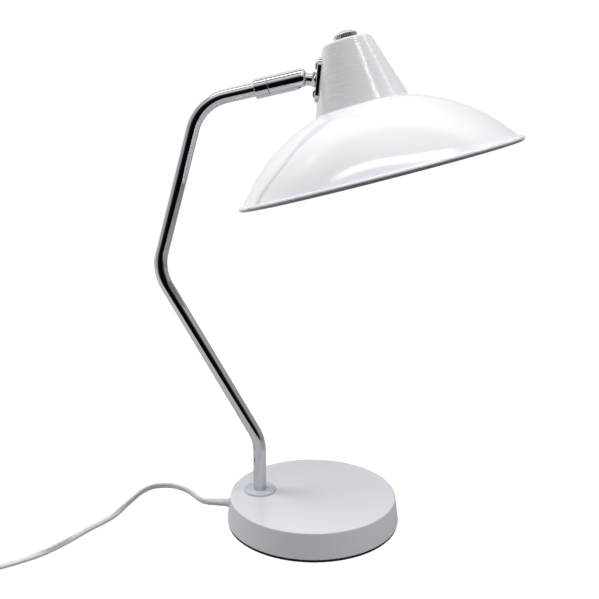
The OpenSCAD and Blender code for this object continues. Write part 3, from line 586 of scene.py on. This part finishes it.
insulated = middle[1::3] < (plug_y + insulated_part) * mm
plug_pins.data.polygons.foreach_set("material_index", insulated.astype(np.int32))

# %% [markdown]
# ## Shade
# The shade is spun from one steel disc: a shallow dome, a conical neck and a rim that is rolled
# round a wire, so that it is stiff and has no sharp edge. A subdivision surface over a rough cage
# would flow at the neck's foot, but the real profile has a clear fillet there, so the whole
# section is drawn as one closed line and turned: up the outside, over the neck's edge, down the
# inside, and round the bead.

# %% Shade
dome_steps = 40


def dome_line(radius, r_first, r_last, steps):
    """Points of the dome's circle: z = dome_z + sqrt(radius^2 - r^2) between two distances r."""
    a_first, a_last = math.asin(r_first / radius), math.asin(r_last / radius)
    a = np.linspace(a_first, a_last, steps)
    return np.stack([radius * np.sin(a), dome_z + radius * np.cos(a)], 1)


def neck_fillet(radius, offset, steps):
    """The arc that touches the dome's circle and the neck's line. Its centre is (radius - offset)
    outside both, so it lies on the larger circle and on the shifted line, found in closed form."""
    slope, out = np.array([sin_n, -cos_n]), np.array([cos_n, sin_n])
    start = np.array([neck_foot_r, neck_foot_z]) + out * radius
    reach = dome_r + radius
    b = start @ slope - slope[1] * dome_z
    c = start @ start - 2 * start[1] * dome_z + dome_z ** 2 - reach ** 2
    centre = start + slope * (math.sqrt(b * b - c) * math.copysign(1, b) - b)
    to_dome = math.degrees(math.atan2(*(np.array([0, dome_z]) - centre)[::-1]))
    return arc(centre, radius + offset, 180 + neck_lean, to_dome % 360, steps)


fillet_r, fillet_steps = 3.0, 8
fillet = neck_fillet(fillet_r, 0.0, fillet_steps)
fillet_in = neck_fillet(fillet_r, shade_wall, fillet_steps)
hole_r = 5.3
mouth_edge = rounded([(hole_r, shade_h - shade_wall, 0), (hole_r, shade_h, 0.3),
                      (neck_top_r, shade_h, 4.0), (*fillet[0], 0)], 8)
bead = arc((rim_r, 0), bead_r, 100, -210, 28)
outside = np.vstack([mouth_edge, fillet[1:],
                     dome_line(dome_r, fillet[-1][0], dome_edge_r, dome_steps)[1:]])
inner_top = rounded([(*fillet_in[0], 0), (neck_top_r - 1.05, shade_h - shade_wall, 3.0),
                     (hole_r, shade_h - shade_wall, 0)], 8)
inner_dome = dome_line(dome_r - shade_wall, fillet_in[-1][0], dome_edge_r - 1.6, dome_steps)
inside = np.vstack([inner_dome[::-1], fillet_in[::-1][1:], inner_top[1:-1]])
outside = outside[outside[:, 0] < rim_r - 1.9]
bead = bead[(bead[:, 0] > inside[0, 0]) | (bead[:, 1] < 0)]
shade_line = np.vstack([outside, bead, inside])
turned_piece("spun_shade", shade_line, in_shade, "head", enamel, "enamel", "shade",
             closed=True, steps=288, sharp=45)
print("shade profile:", len(shade_line), "points")

# %% [markdown]
# ## Base
# The cover is one pressing with a soft top edge. In profile it is a level top, a small radius, a
# side that leans in by three millimetres, and a lower edge that turns in over the pad.

# %% Base cover, pad and foot flange
top_z, inner_z, pad_z, flat_r = 25.5, 24.3, 2.5, 70.0
cover = [(flat_r, top_z, 0), (77.0, top_z, 1.3), (80.0, pad_z, 0.5), (78.8, pad_z, 0.2),
         (75.9, inner_z, 1.2), (flat_r, inner_z, 0)]
cover_line = np.vstack([np.linspace((0, top_z), (flat_r, top_z), 15), rounded(cover, 10)[1:-1],
                        np.linspace((flat_r, inner_z), (0, inner_z), 6)])
turned_piece("pressed_base_cover", cover_line, world, "stand", base_paint, "base_paint",
             "base_cover", steps=288)
pad_r = 79.4
pad_line = rounded([(0, pad_z, 0), (pad_r, pad_z, 0.3), (pad_r, 0, 0.5), (0, 0, 0)], 4)
turned_piece("foam_pad", pad_line, world, "stand", foam_rubber, "pad", "base_pad", steps=192)
tube_fit, disc_r, disc_z = 6.05, 15.0, 27.5
flange_line = rounded([(tube_fit, top_z, 0), (tube_fit, disc_z, 0.2), (disc_r, disc_z, 0.5),
                       (disc_r, top_z, 0)], 6)
# The foot disc takes the darker copy of the base paint: painted shade.
turned_piece("foot_disc", flange_line, at_foot, "stand", disc_painted_shade, "base_paint",
             "foot_flange", closed=True, steps=96)

# %% [markdown]
# ## Stem
# The stem is a 12 mm steel tube, bent cold round a 40 mm former and then plated. Its line is three
# straights and three arcs, and its section stays round through the bends. The tube's foot passes
# through the cover and the weight.

# %% Stem


def bent(corners, radius, step_degrees=1.5):
    """Straights between corners, each corner swapped for an arc of the given radius. The arc runs
    from one straight to the other by turning the first direction toward the second."""
    points = [corners[0]]
    for before, corner, after in zip(corners, corners[1:], corners[2:]):
        way_in, way_out = unit(corner - before), unit(after - corner)
        sweep = math.acos(way_in @ way_out)
        start = corner - way_in * radius * math.tan(sweep / 2)
        to_centre = unit(way_out - way_in * (way_in @ way_out))
        t = np.linspace(0, sweep, max(4, round(math.degrees(sweep) / step_degrees)))[:, None]
        points.extend(start + radius * (np.sin(t) * way_in + (1 - np.cos(t)) * to_centre))
    return np.vstack(points + [corners[-1]])


stem_path = bent([foot + [0, 0, 6.0], corner_1, corner_2, corner_3, corner_3 + 58 * arm_way],
                 bend_r)
stem_way = unit(np.gradient(stem_path, axis=0))
stem_way[0], stem_way[-1] = [0, 0, 1], arm_way
stem_side = np.tile([0, 1.0, 0], (len(stem_path), 1))
ring = arc((0, 0), tube_r, 0, 360, 72)[:-1]
stem_up = np.cross(stem_way, stem_side)
outer = swept(stem_path, ring, stem_side, stem_up)
tube_wall = 1.0
inner = swept(stem_path, ring * (tube_r - tube_wall) / tube_r, stem_side, stem_up)[::-1]
grid_piece("bent_stem", np.vstack([outer, inner]), world, "stand", chrome, "chrome", "stem_tube",
           closed=True)

# %% [markdown]
# ## Ball joint
# A fixed sleeve closes the arm's end. The front sleeve turns on it, and its mouth holds the ball.
# The mouth is a little narrower than the ball, and a slot on the lower side lets the neck swing
# down. Cutting the slot with a Boolean would leave long thin triangles that a mirror finish shows,
# so the sleeve is a grid whose two ends stop at the slot's own edge.

# %% Rear sleeve
joint_r, rear_s, gap_s = 8.3, 50.0, 62.0
rear_line = rounded([(tube_fit, rear_s, 0), (joint_r, rear_s, 0.7), (joint_r, gap_s, 0.35),
                     (tube_fit, gap_s, 0)], 6)
turned_piece("rear_sleeve", rear_line, along_arm, "stand", chrome, "chrome", "arm_collar",
             closed=True, steps=128)

# %% Slotted ball socket
ball_r, seat_r, mouth_r, bush_r = 6.6, 6.68, 5.3, 6.08
front, back, edge, seat_s = 95.3, 62.3, 4.5, 73.7


def slot_half_angle(s, r):
    """Half the angle that the slot opens at distance s along the sleeve: asin(w / r), where w is
    the slot's half width, round at its closed end and straight from the ball's centre on."""
    w = np.sqrt(np.clip(mouth_r ** 2 - np.clip(ball_at - s, 0, mouth_r) ** 2, 0, None))
    return np.arcsin(np.clip(w / r, 0, 1)) * (s > ball_at - mouth_r)


around, along_rows = 192, 170
lip_z = front - edge + math.sqrt(edge ** 2 - (mouth_r + 0.15 - joint_r + edge) ** 2)
last = math.degrees(math.acos((mouth_r + 0.15 - joint_r + edge) / edge))
lip = [(mouth_r, lip_z - 0.1)]
sleeve = rounded([(bush_r, back, 0), (joint_r, back, 0.35), (joint_r, front - edge, 0)], 5)
outer_line = np.vstack([sleeve, arc((joint_r - edge, front - edge), edge, 0, last, 20)[1:], lip])
reach = np.linspace(0, math.sqrt(seat_r ** 2 - mouth_r ** 2), 14)
seat_line = np.stack([np.sqrt(seat_r ** 2 - reach ** 2), ball_at + reach], 1)
inner_line = np.vstack([[(bush_r, back), (bush_r, seat_s), (seat_r, seat_s)], seat_line, lip])
halves = []
for line in (spread(outer_line, along_rows), spread(inner_line, along_rows)[::-1]):
    half = slot_half_angle(line[:, 1], np.maximum(line[:, 0], mouth_r + 1e-6))[:, None]
    a = half + np.linspace(0, 1, around)[None, :] * (2 * np.pi - 2 * half)
    halves.append(around_axis(line[:, :1], a, line[:, 1:]))
socket_grid = np.concatenate(halves)
k = np.arange(along_rows - 1)[:, None]
opposite = 2 * along_rows - 1 - k
slot_walls = np.hstack([k, k + 1, opposite - 1, opposite]) * around
make_piece("slotted_ball_socket", [along_arm.place(socket_grid)],
           [grid_faces(2 * along_rows, around, round_rows=True), slot_walls,
            slot_walls[:, ::-1] + around - 1],
           "socket", chrome, "chrome", "ball_socket", sharp=30)

# %% [markdown]
# ### Ball stud
# Ball, neck, hexagon and threaded tail are turned from one bar, so they are one piece here. The
# hexagon is a turned ring whose radius follows six flats, with a chamfer that leaves a bright ring
# on its face. The thread is real: the radius falls as the angle and the distance run on together.

# %% Ball stud


def threaded(profile, pitch, depth, steps=96):
    """A turned surface with a thread: r less depth * |2 * frac(z / pitch - a / turn) - 1|."""
    grid = turned(profile, steps)
    r, z = np.asarray(profile, float).T
    a = np.linspace(0, 1, steps, endpoint=False)
    groove = depth * np.abs(2 * ((z[:, None] / pitch - a) % 1) - 1)
    share = 1 - groove / np.maximum(r[:, None], 1e-9)
    return grid * np.stack([share, share, np.ones_like(share)], -1)


def hexagon(across_flats, low, high, bore, steps=96):
    """A ring with six flats: r = min(flat / cos(angle off the flat's middle), chamfer cone)."""
    rows = [(bore, low)] + [(99, low + d) for d in (0, 0.12, 0.24, 0.36, 0.5)]
    rows += [(99, high - d) for d in (0.5, 0.36, 0.24, 0.12, 0)] + [(bore, high)]
    r, z = np.array(rows, float).T
    a = np.linspace(0, 2 * np.pi, steps, endpoint=False)
    flat = across_flats / 2 / np.cos((a + np.pi / 6) % (np.pi / 3) - np.pi / 6)
    cone = across_flats / 2 + 0.05 + np.minimum(high - z, z - low)[:, None] * 1.732
    ring = np.where(r[:, None] < 99, r[:, None], np.minimum(flat[None, :], cone))
    return around_axis(ring, a, z[:, None])


neck_r, bore_r, hex_low, hex_top = 5.0, 2.8, 3.7, 5.9
tail_r, tail_end, tail_end_r = 4.9, -6.2, 4.45
tail_z = np.arange(tail_end, 2.41, 0.1)
tail = np.stack([np.minimum(tail_r, tail_end_r + (tail_z - tail_end)), tail_z], 1)
ball_start = math.degrees(math.atan2(-4.1, 5.17))
ball_line = arc((0, stud_len), ball_r, ball_start, math.degrees(math.acos(bore_r / ball_r)), 40)
neck_line = rounded([(neck_r, hex_top - 0.4, 0), (neck_r, 11.55, 1.1), (*ball_line[0], 0)], 8)
stud_line = np.vstack([tail, [(4.6, 2.5), (4.6, 3.6), (4.6, hex_top - 0.4)], neck_line,
                       ball_line[1:], [(bore_r, -6.3), (4.35, -6.3)]])
stud_grid = turned(stud_line, 96)
stud_grid[:len(tail)] = threaded(tail, pitch=1.0, depth=0.55)
hex_grid = hexagon(12, hex_low, hex_top, bore=4.55)
make_piece("ball_stud_and_neck", [at_mount.place(stud_grid), at_mount.place(hex_grid)],
           [grid_faces(len(stud_line), 96, True, True),
            grid_faces(len(hex_grid), 96, True, True, first=stud_grid[..., 0].size)],
           "ball_link", chrome, "chrome", "ball_stud", sharp=28)
washer_line = rounded([(4.95, 2.7, 0.1), (6.0, 2.7, 0.2), (6.0, 3.7, 0.25), (4.95, 3.7, 0.1)],
                      3, closed=True)
turned_piece("neck_washer", washer_line, at_mount, "ball_link", chrome, "chrome", "stud_washer",
             closed=True, steps=96)

# %% [markdown]
# ### Bracket plate and screws
# A plate with round ends spreads the load on the thin neck. Its back is hollow, because the neck
# is a cone: each point of the plate's underside is put on that cone, by solving the cone's
# equation in the plate's own frame. Two dome-headed screws with a cross recess hold it.

# %% Bracket plate
plate_t, plate_w, plate_len = 2.4, 16.0, 37.0


def on_cone(x, y):
    """Height of the neck's cone below the plate's level. With A = mount radius - x sin n, it is the
    root of z^2 (cos 2n / cos^2 n) + 2 A z / cos n + y^2 = 0 that lies near zero."""
    a, q = mount_r - x * sin_n, (cos_n ** 2 - sin_n ** 2) / cos_n ** 2
    b = 2 * a / cos_n
    return (-b + np.sqrt(b * b - 4 * q * y * y)) / (2 * q)


round_end = arc((plate_len / 2 - plate_w / 2, 0), plate_w / 2, -90, 90, 40)
straight = np.stack([np.linspace(10.5, -10.5, 14)[1:-1], np.full(12, plate_w / 2)], 1)
rim = np.vstack([round_end, straight, -round_end, -straight])
inward = unit(np.stack([np.clip(rim[:, 0], -10.5, 10.5) - rim[:, 0], -rim[:, 1]], 1))
hole = 4.98 * unit(rim * [0.45, 1.0])
edge_r, above_cone = 0.9, 0.05
soft_edge = [(edge_r * (1 - math.sin(t)), edge_r * (1 - math.cos(t)))
             for t in np.linspace(0, math.pi / 2, 7)]


def level_row(outline, z):
    """One ring of the plate at a single height."""
    return np.column_stack([outline, np.full(len(outline), z)])


def cone_row(outline):
    """One ring of the plate that lies on the neck's cone."""
    return np.column_stack([outline, on_cone(*outline.T) + above_cone])


plate_rows = [cone_row(hole), level_row(hole, plate_t)]
plate_rows += [level_row(hole + (rim + inward * edge_r - hole) * t, plate_t)
               for t in (0.03, 0.35, 0.7)]
plate_rows += [level_row(rim + inward * dx, plate_t - dz) for dx, dz in soft_edge]
plate_rows += [cone_row(rim)]
plate_rows += [cone_row(rim + (hole - rim) * t) for t in (0.25, 0.5, 0.75)]
plate_grid = np.stack(plate_rows)
grid_piece("bracket_plate", plate_grid, at_mount, "head", chrome, "chrome", "head_bracket",
           closed=True, sharp=35)

# %% Dome-headed screws
head_rise, head_r = 2.6, 3.8
cap_r = (head_r ** 2 + head_rise ** 2) / (2 * head_rise)
r = np.linspace(0, head_r, 30)
cap_z = plate_t + head_rise - cap_r + np.sqrt(cap_r ** 2 - r ** 2)
head_grid = turned(np.stack([r, cap_z], 1), 96)
x, y = head_grid[..., 0], head_grid[..., 1]
arm_w, arm_len, recess, shank_r = 0.62, 2.0, 1.1, 2.0
arm_a, arm_b = (ease((arm_w - np.abs(u)) / 0.2) * ease((arm_len - np.abs(v)) / 0.5)
                for u, v in ((x, y), (y, x)))
head_grid[..., 2] -= np.maximum(arm_a, arm_b) * recess
shank_z = np.arange(plate_t - 0.2, -6.0, -0.1)
shank = np.stack([np.minimum(shank_r, 1.6 + (shank_z + 6.0)), shank_z], 1)
shank_grid = threaded(shank, pitch=0.7, depth=0.32)
end_grid = turned([(1.2, -6.1), (0, -6.1)], 96)
seat_grid = turned([(3.6, plate_t), (shank_r, plate_t)], 96)
screw_grid = np.concatenate([head_grid, seat_grid, shank_grid, end_grid])
screw_faces = grid_faces(len(screw_grid), 96, round_columns=True)
screw_x = 11.5
# The screw heads take the darker copy of the chrome, which is painted shade.
make_piece("dome_screws", [at_mount.place(screw_grid + [x, 0, 0]) for x in (-screw_x, screw_x)],
           [screw_faces, screw_faces + screw_grid[..., 0].size], "head", chrome_painted_dark, "chrome",
           "bracket_screws", sharp=30)

# %% [markdown]
# ## Switch knob
# The knob is a small plated cap: a low dome over a fluted side that fingers can grip. Its radius
# is the profile's, less thirty round grooves that fade out where the dome begins.

# %% Knob
knob_z, knob_r, knob_h, side_h, room_r, flutes = 113.5, 10.0, 7.6, 4.18, 8.1, 30
dome_h = knob_h - side_h
knob_cap_r = (knob_r ** 2 + dome_h ** 2) / (2 * dome_h)
side_part = np.stack([np.full(12, knob_r), np.linspace(0.3, side_h - 0.1, 12)], 1)
shoulder = math.degrees(math.acos((knob_r - 0.35) / knob_cap_r))
top_part = arc((0, knob_h - knob_cap_r), knob_cap_r, shoulder, 90, 24)
under_part = [(0, 3.0), (room_r, 3.0), (room_r, 0.15), (room_r + 0.15, 0), (knob_r - 0.3, 0)]
knob_line = np.vstack([under_part, side_part, top_part])
knob_steps, groove_r, groove_off = flutes * 16, 0.6, 0.25
knob_grid = turned(knob_line, knob_steps)
a = np.linspace(0, 1, knob_steps, endpoint=False) * flutes % 1 - 0.5
from_middle = a * 2 * math.pi * knob_r / flutes
groove = np.sqrt(np.clip(groove_r ** 2 - from_middle ** 2, 0, None)) - groove_off
r, z = knob_line[:, :1], knob_line[:, 1:]
here = np.clip(groove, 0, None)[None, :] * ease((side_h + 0.7 - z) / 0.9) * (r > 9)
knob_grid[..., :2] *= (1 - here / np.maximum(r, 1))[..., None]
at_knob = Stand(shade_origin + knob_z * up_shade, up_shade, out_shade)
grid_piece("fluted_knob", knob_grid, at_knob, "knob", chrome, "chrome", "switch_knob", sharp=35)

# %% [markdown]
# ## Lamp holder
# The bulb screws into a thin brass shell that is rolled to a round thread with 2.82 mm from turn
# to turn. In CAD it is a plain ring, so that it can be measured and mated. Here it gets its wave.

# %% Thread shell
shell_z, shell_low, shell_pitch = np.linspace(0, 16, 97), 63.0, 2.82
turn_angle = np.linspace(0, 2 * np.pi, 96, endpoint=False)
wave = 0.14 * (1 + np.cos(2 * np.pi * shell_z[:, None] / shell_pitch - turn_angle))
walls = [around_axis(r + wave, turn_angle, shell_z[:, None] + shell_low) for r in (7.0, 7.2)]
shell_grid = np.concatenate([walls[0], walls[1][::-1]])
grid_piece("rolled_thread_shell", shell_grid, in_shade, "head", brass, "brass", "thread_shell",
           closed=True)

# %% [markdown]
# ## The hidden pieces
# The holder, the nuts, the weight and the leads inside keep their CAD shapes. A CAD mesh is made
# of loose triangles, which a bump or a gloss would show, so each is merged into a closed copy
# first. The colour of each says what it is: ivory thermoset, zinc, brass, iron or soft lead. The
# bush's brass is darker: painted shade inside the joint's sleeves.

# %% Hidden pieces
hidden = [("switch_housing", "switch_body", "head", ivory_thermoset, "ivory_plastic"),
          ("holder_skirt", "holder_sleeve", "head", ivory_thermoset, "ivory_plastic"),
          ("holder_insulator", "holder_core", "head", porcelain, "porcelain"),
          ("contact_tongue", "centre_contact", "head", brass, "brass"),
          ("neck_ring_nut", "switch_ring", "head", zinc, "steel"),
          ("knob_spindle", "switch_spindle", "knob", brass, "brass"),
          ("tail_nut", "stud_nut", "ball_link", brass, "brass"),
          ("plate_nuts", "bracket_nuts", "head", zinc, "steel"),
          ("two_head_leads", "head_leads", "head", pvc_jacket, "cord"),
          # the bush's darker brass is painted shade
          ("sleeve_bush", "pivot_bush", "stand", brass_painted_shade, "brass"),
          ("disc_springs", "seat_spring", "socket", zinc, "steel"),
          ("ball_seat", "pressure_seat", "socket", ivory_thermoset, "ivory_plastic"),
          ("iron_weight", "base_weight", "stand", cast_iron, "iron"),
          ("foot_washer", "stem_washer", "stand", zinc, "steel"),
          ("foot_nut", "stem_nut", "stand", brass, "brass"),
          ("lead_in_stem", "stem_lead", "stand", pvc_jacket, "cord"),
          ("cord_inside_base", "mains_tail", "stand", pvc_jacket, "cord"),
          ("terminal_strip", "terminal_block", "stand", ivory_thermoset, "ivory_plastic")]
for name, node, body, material, slot in hidden:
    merged_copy(node, name, body, material, slot)

# %% [markdown]
# ## Light
# The picture was taken in a white studio with a dark room behind the camera. Three large softboxes
# light the lamp from the right, from the left and from above, and an even level fills in from all
# round. Each was set on its own until the enamel's greys came out right. The chrome needs more. A
# mirror shows the whole room, so the room is drawn for mirror rays alone: a bright backdrop, grey
# walls at the sides, a dark gap where the photographer stands, and light panels overhead.

# %% Soft lights
distance, aim_height = 1.6, 0.2
softboxes = [("right_key", (0.60, -0.10, 0.80), 0.7, 10.1),
             ("left_softbox", (-0.75, 0.05, 0.66), 0.9, 12.2),
             ("overhead_softbox", (0.05, -0.30, 0.95), 1.2, 11.4)]
for name, way, size, watts in softboxes:
    lamp_data = bpy.data.lights.new(name, "AREA")
    lamp_data.shape, lamp_data.size, lamp_data.energy = "DISK", size, watts
    lamp = bpy.data.objects.new(name, lamp_data)
    way = unit(np.array(way))
    lamp.location = (way * distance + [0, 0, aim_height]).tolist()
    lamp.rotation_euler = [0, math.acos(way[2]), math.atan2(way[1], way[0])]
    lamp.visible_glossy = False
    scene.collection.objects.link(lamp)
    print(name, "at", [round(x, 2) for x in lamp.location])

# %% [markdown]
# ### The room
# Mirror rays read the direction they leave in. Its compass angle picks a brightness from a ramp
# all round the horizon. Its height picks between that ring and the ceiling. A light panel is a
# strip on the flat ceiling, or a round patch in one direction.

# %% Room
level = 0.19
room = bpy.data.worlds.new("studio_room")
scene.world = room
room.use_nodes = True
tree = room.node_tree
tree.nodes.clear()
way = add(tree, "TexCoord").outputs["Generated"]
split = add(tree, "SeparateXYZ", [way]).outputs
to_front = add(tree, "Math", [split["Y"], -1.0], operation="MULTIPLY")
compass = add(tree, "Math", [split["X"], to_front], operation="ARCTAN2")
share = add(tree, "Math", [compass, 1 / (2 * math.pi), 0.5], operation="MULTIPLY_ADD")
horizon = add(tree, "ValToRGB", [share])
stops = [(-180, 0.42), (-160, 0.46), (-142, 0.70), (-112, 0.74), (-97, 0.42), (-82, 0.26),
         (-52, 0.29), (-40, 0.12), (-31, 0.008), (0, 0.001), (44, 0.003), (57, 0.025),
         (69, 0.13), (84, 0.20), (112, 0.23), (140, 0.22), (157, 0.28), (180, 0.42)]
ramp = horizon.color_ramp
while len(ramp.elements) < len(stops):
    ramp.elements.new(0.5)
for element, (angle, bright) in zip(ramp.elements, stops):
    element.position = (angle + 180) / 360
    element.color = (bright, bright, bright * 1.02, 1)
ring = add(tree, "Math", [horizon, 2.0], operation="MULTIPLY")
print(room.name, "has", len(stops), "stops round the horizon")

# %% [markdown]
# ### Ceiling and panels
# Above the dark gap the room fades up to the grey ceiling. The long panel over the dome draws the
# curved streak near its rim, and the small strong lights draw the bright lines down the neck.

# %% Ceiling and panels
height = split["Z"]
rise = add(tree, "Math", [height], operation="ARCSINE")
front_fade = add(tree, "MapRange", [rise, math.radians(13), math.radians(44), 0, 1.05], **smooth)
top_fade = add(tree, "MapRange", [rise, math.radians(40), math.radians(62), 0, 1], **smooth)
safe = add(tree, "Math", [height, 0.05], operation="MAXIMUM")
along_x, along_y = (add(tree, "Math", [split[k], safe], operation="DIVIDE") for k in "XY")


def panel(y_middle, y_half, x_low, x_high, bright, soft=0.06, bend=0.0):
    """A light panel on the ceiling, in the ceiling's own flat coordinates x / z and y / z. Its
    middle line is y_middle + bend * max(x + 0.1, 0)^2."""
    right = add(tree, "Math", [along_x, 0.1], operation="ADD")
    right = add(tree, "Math", [right, 0.0], operation="MAXIMUM")
    square = add(tree, "Math", [right, right], operation="MULTIPLY")
    line = add(tree, "Math", [square, bend, y_middle], operation="MULTIPLY_ADD")
    off = add(tree, "Math", [along_y, line], operation="SUBTRACT")
    off = add(tree, "Math", [off], operation="ABSOLUTE")
    shine = add(tree, "MapRange", [off, y_half + soft, y_half - soft, 0, bright], **smooth)
    for edge, start, stop in ((x_low, 0, 1), (x_high, 1, 0)):
        end = add(tree, "MapRange", [along_x, edge - 0.1, edge + 0.1, start, stop], **smooth)
        shine = add(tree, "Math", [shine, end], operation="MULTIPLY")
    return shine


def patch(azimuth, rise_angle, half_width, bright):
    """A round patch of light: full inside half its width, gone outside it."""
    a, e, wide = np.radians([azimuth, rise_angle, half_width]).tolist()
    middle = (math.sin(a) * math.cos(e), -math.cos(a) * math.cos(e), math.sin(e))
    near = add(tree, "VectorMath", [way, middle], operation="DOT_PRODUCT").outputs["Value"]
    return add(tree, "MapRange", [near, math.cos(wide), math.cos(wide / 2), 0, bright], **smooth)


ceiling = 0.40
above = ceiling
for light in (panel(-1.07, 0.17, -0.9, 0.1, 0.65), panel(-0.21, 0.055, -0.80, 0.42, 7.0, 0.02, 0.9),
              panel(0.43, 0.045, -1.25, -0.85, 18.0, 0.02),
              add(tree, "MapRange", [along_y, 0.22, 0.45, 0, 1.2], **smooth),
              patch(39, 55, 8, 12.0), patch(104, 50, 9, 4.0)):
    above = add(tree, "Math", [above, light], operation="ADD")
in_gap = add(tree, "MapRange", [ring, 0.2, 0.6, 1, 0], **smooth)
low_part = add(tree, "Math", [front_fade, in_gap, ring], operation="MULTIPLY_ADD")
under_top = add(tree, "MapRange", [top_fade, 0, 1, 1, 0], **smooth)
low_part = add(tree, "Math", [low_part, under_top], operation="MULTIPLY")
mirror = add(tree, "Math", [above, top_fade, low_part], operation="MULTIPLY_ADD")
extra = add(tree, "Math", [patch(39, 55, 8, 13.0), patch(104, 50, 8, 5.0)], operation="ADD")
mirror = add(tree, "Math", [mirror, extra], operation="MAXIMUM")

rays = add(tree, "LightPath").outputs
mirror_rays = [rays["Is Glossy Ray"], rays["Is Transmission Ray"]]
in_mirror = add(tree, "Math", mirror_rays, operation="MAXIMUM")
plain = add(tree, "MapRange", [height, -0.25, 0.7, level * 0.25, level], **smooth)
plain, mirrored, backdrop = (add(tree, "Background", [(1, 1, 1, 1), strength])
                             for strength in (plain, mirror, 1.0))
first = add(tree, "MixShader", [in_mirror, plain, mirrored])
both = add(tree, "MixShader", [rays["Is Camera Ray"], first, backdrop])
add(tree, "OutputWorld", [both])
print("room drawn with", len(tree.nodes), "nodes")

# %% [markdown]
# ## Table
# The lamp stands on a white table that runs into the white backdrop. A rendered white floor is
# never quite as white as the backdrop, so the table also glows for the camera. In the mirrors it is
# brighter on the left, where a softbox stands. It ends in front of the lamp, which is why the
# stem's reflections turn dark low down.

# %% Table
table_mesh = bpy.data.meshes.new("table_top")
front_y, table_z = -0.55, -0.0002
corners = [(-3, front_y, table_z), (3, front_y, table_z), (3, 4, table_z), (-3, 4, table_z)]
table_mesh.from_pydata(corners, [], [(0, 1, 2, 3)])
table = bpy.data.objects.new("table_top", table_mesh)
scene.collection.objects.link(table)
table_white, tree, shader, place = finish("matt_white_table", "#8C8C8D", 0.6)
rays = add(tree, "LightPath").outputs
mirror_rays = [rays["Is Glossy Ray"], rays["Is Transmission Ray"]]
for_eye = add(tree, "Math", [rays["Is Camera Ray"], 0.88], operation="MULTIPLY")
in_mirror = add(tree, "Math", mirror_rays, operation="MAXIMUM")
from_left = add(tree, "SeparateXYZ", [place]).outputs["X"]
window_side = add(tree, "MapRange", [from_left, -0.5, 0.7, 0.46, 0.06], **smooth)
glow = add(tree, "Math", [in_mirror, window_side, for_eye], operation="MULTIPLY_ADD")
tree.links.new(glow.outputs["Value"], shader.inputs["Emission Strength"])
shader.inputs["Emission Color"].default_value = (1, 1, 1, 1)
table_mesh.materials.append(table_white)
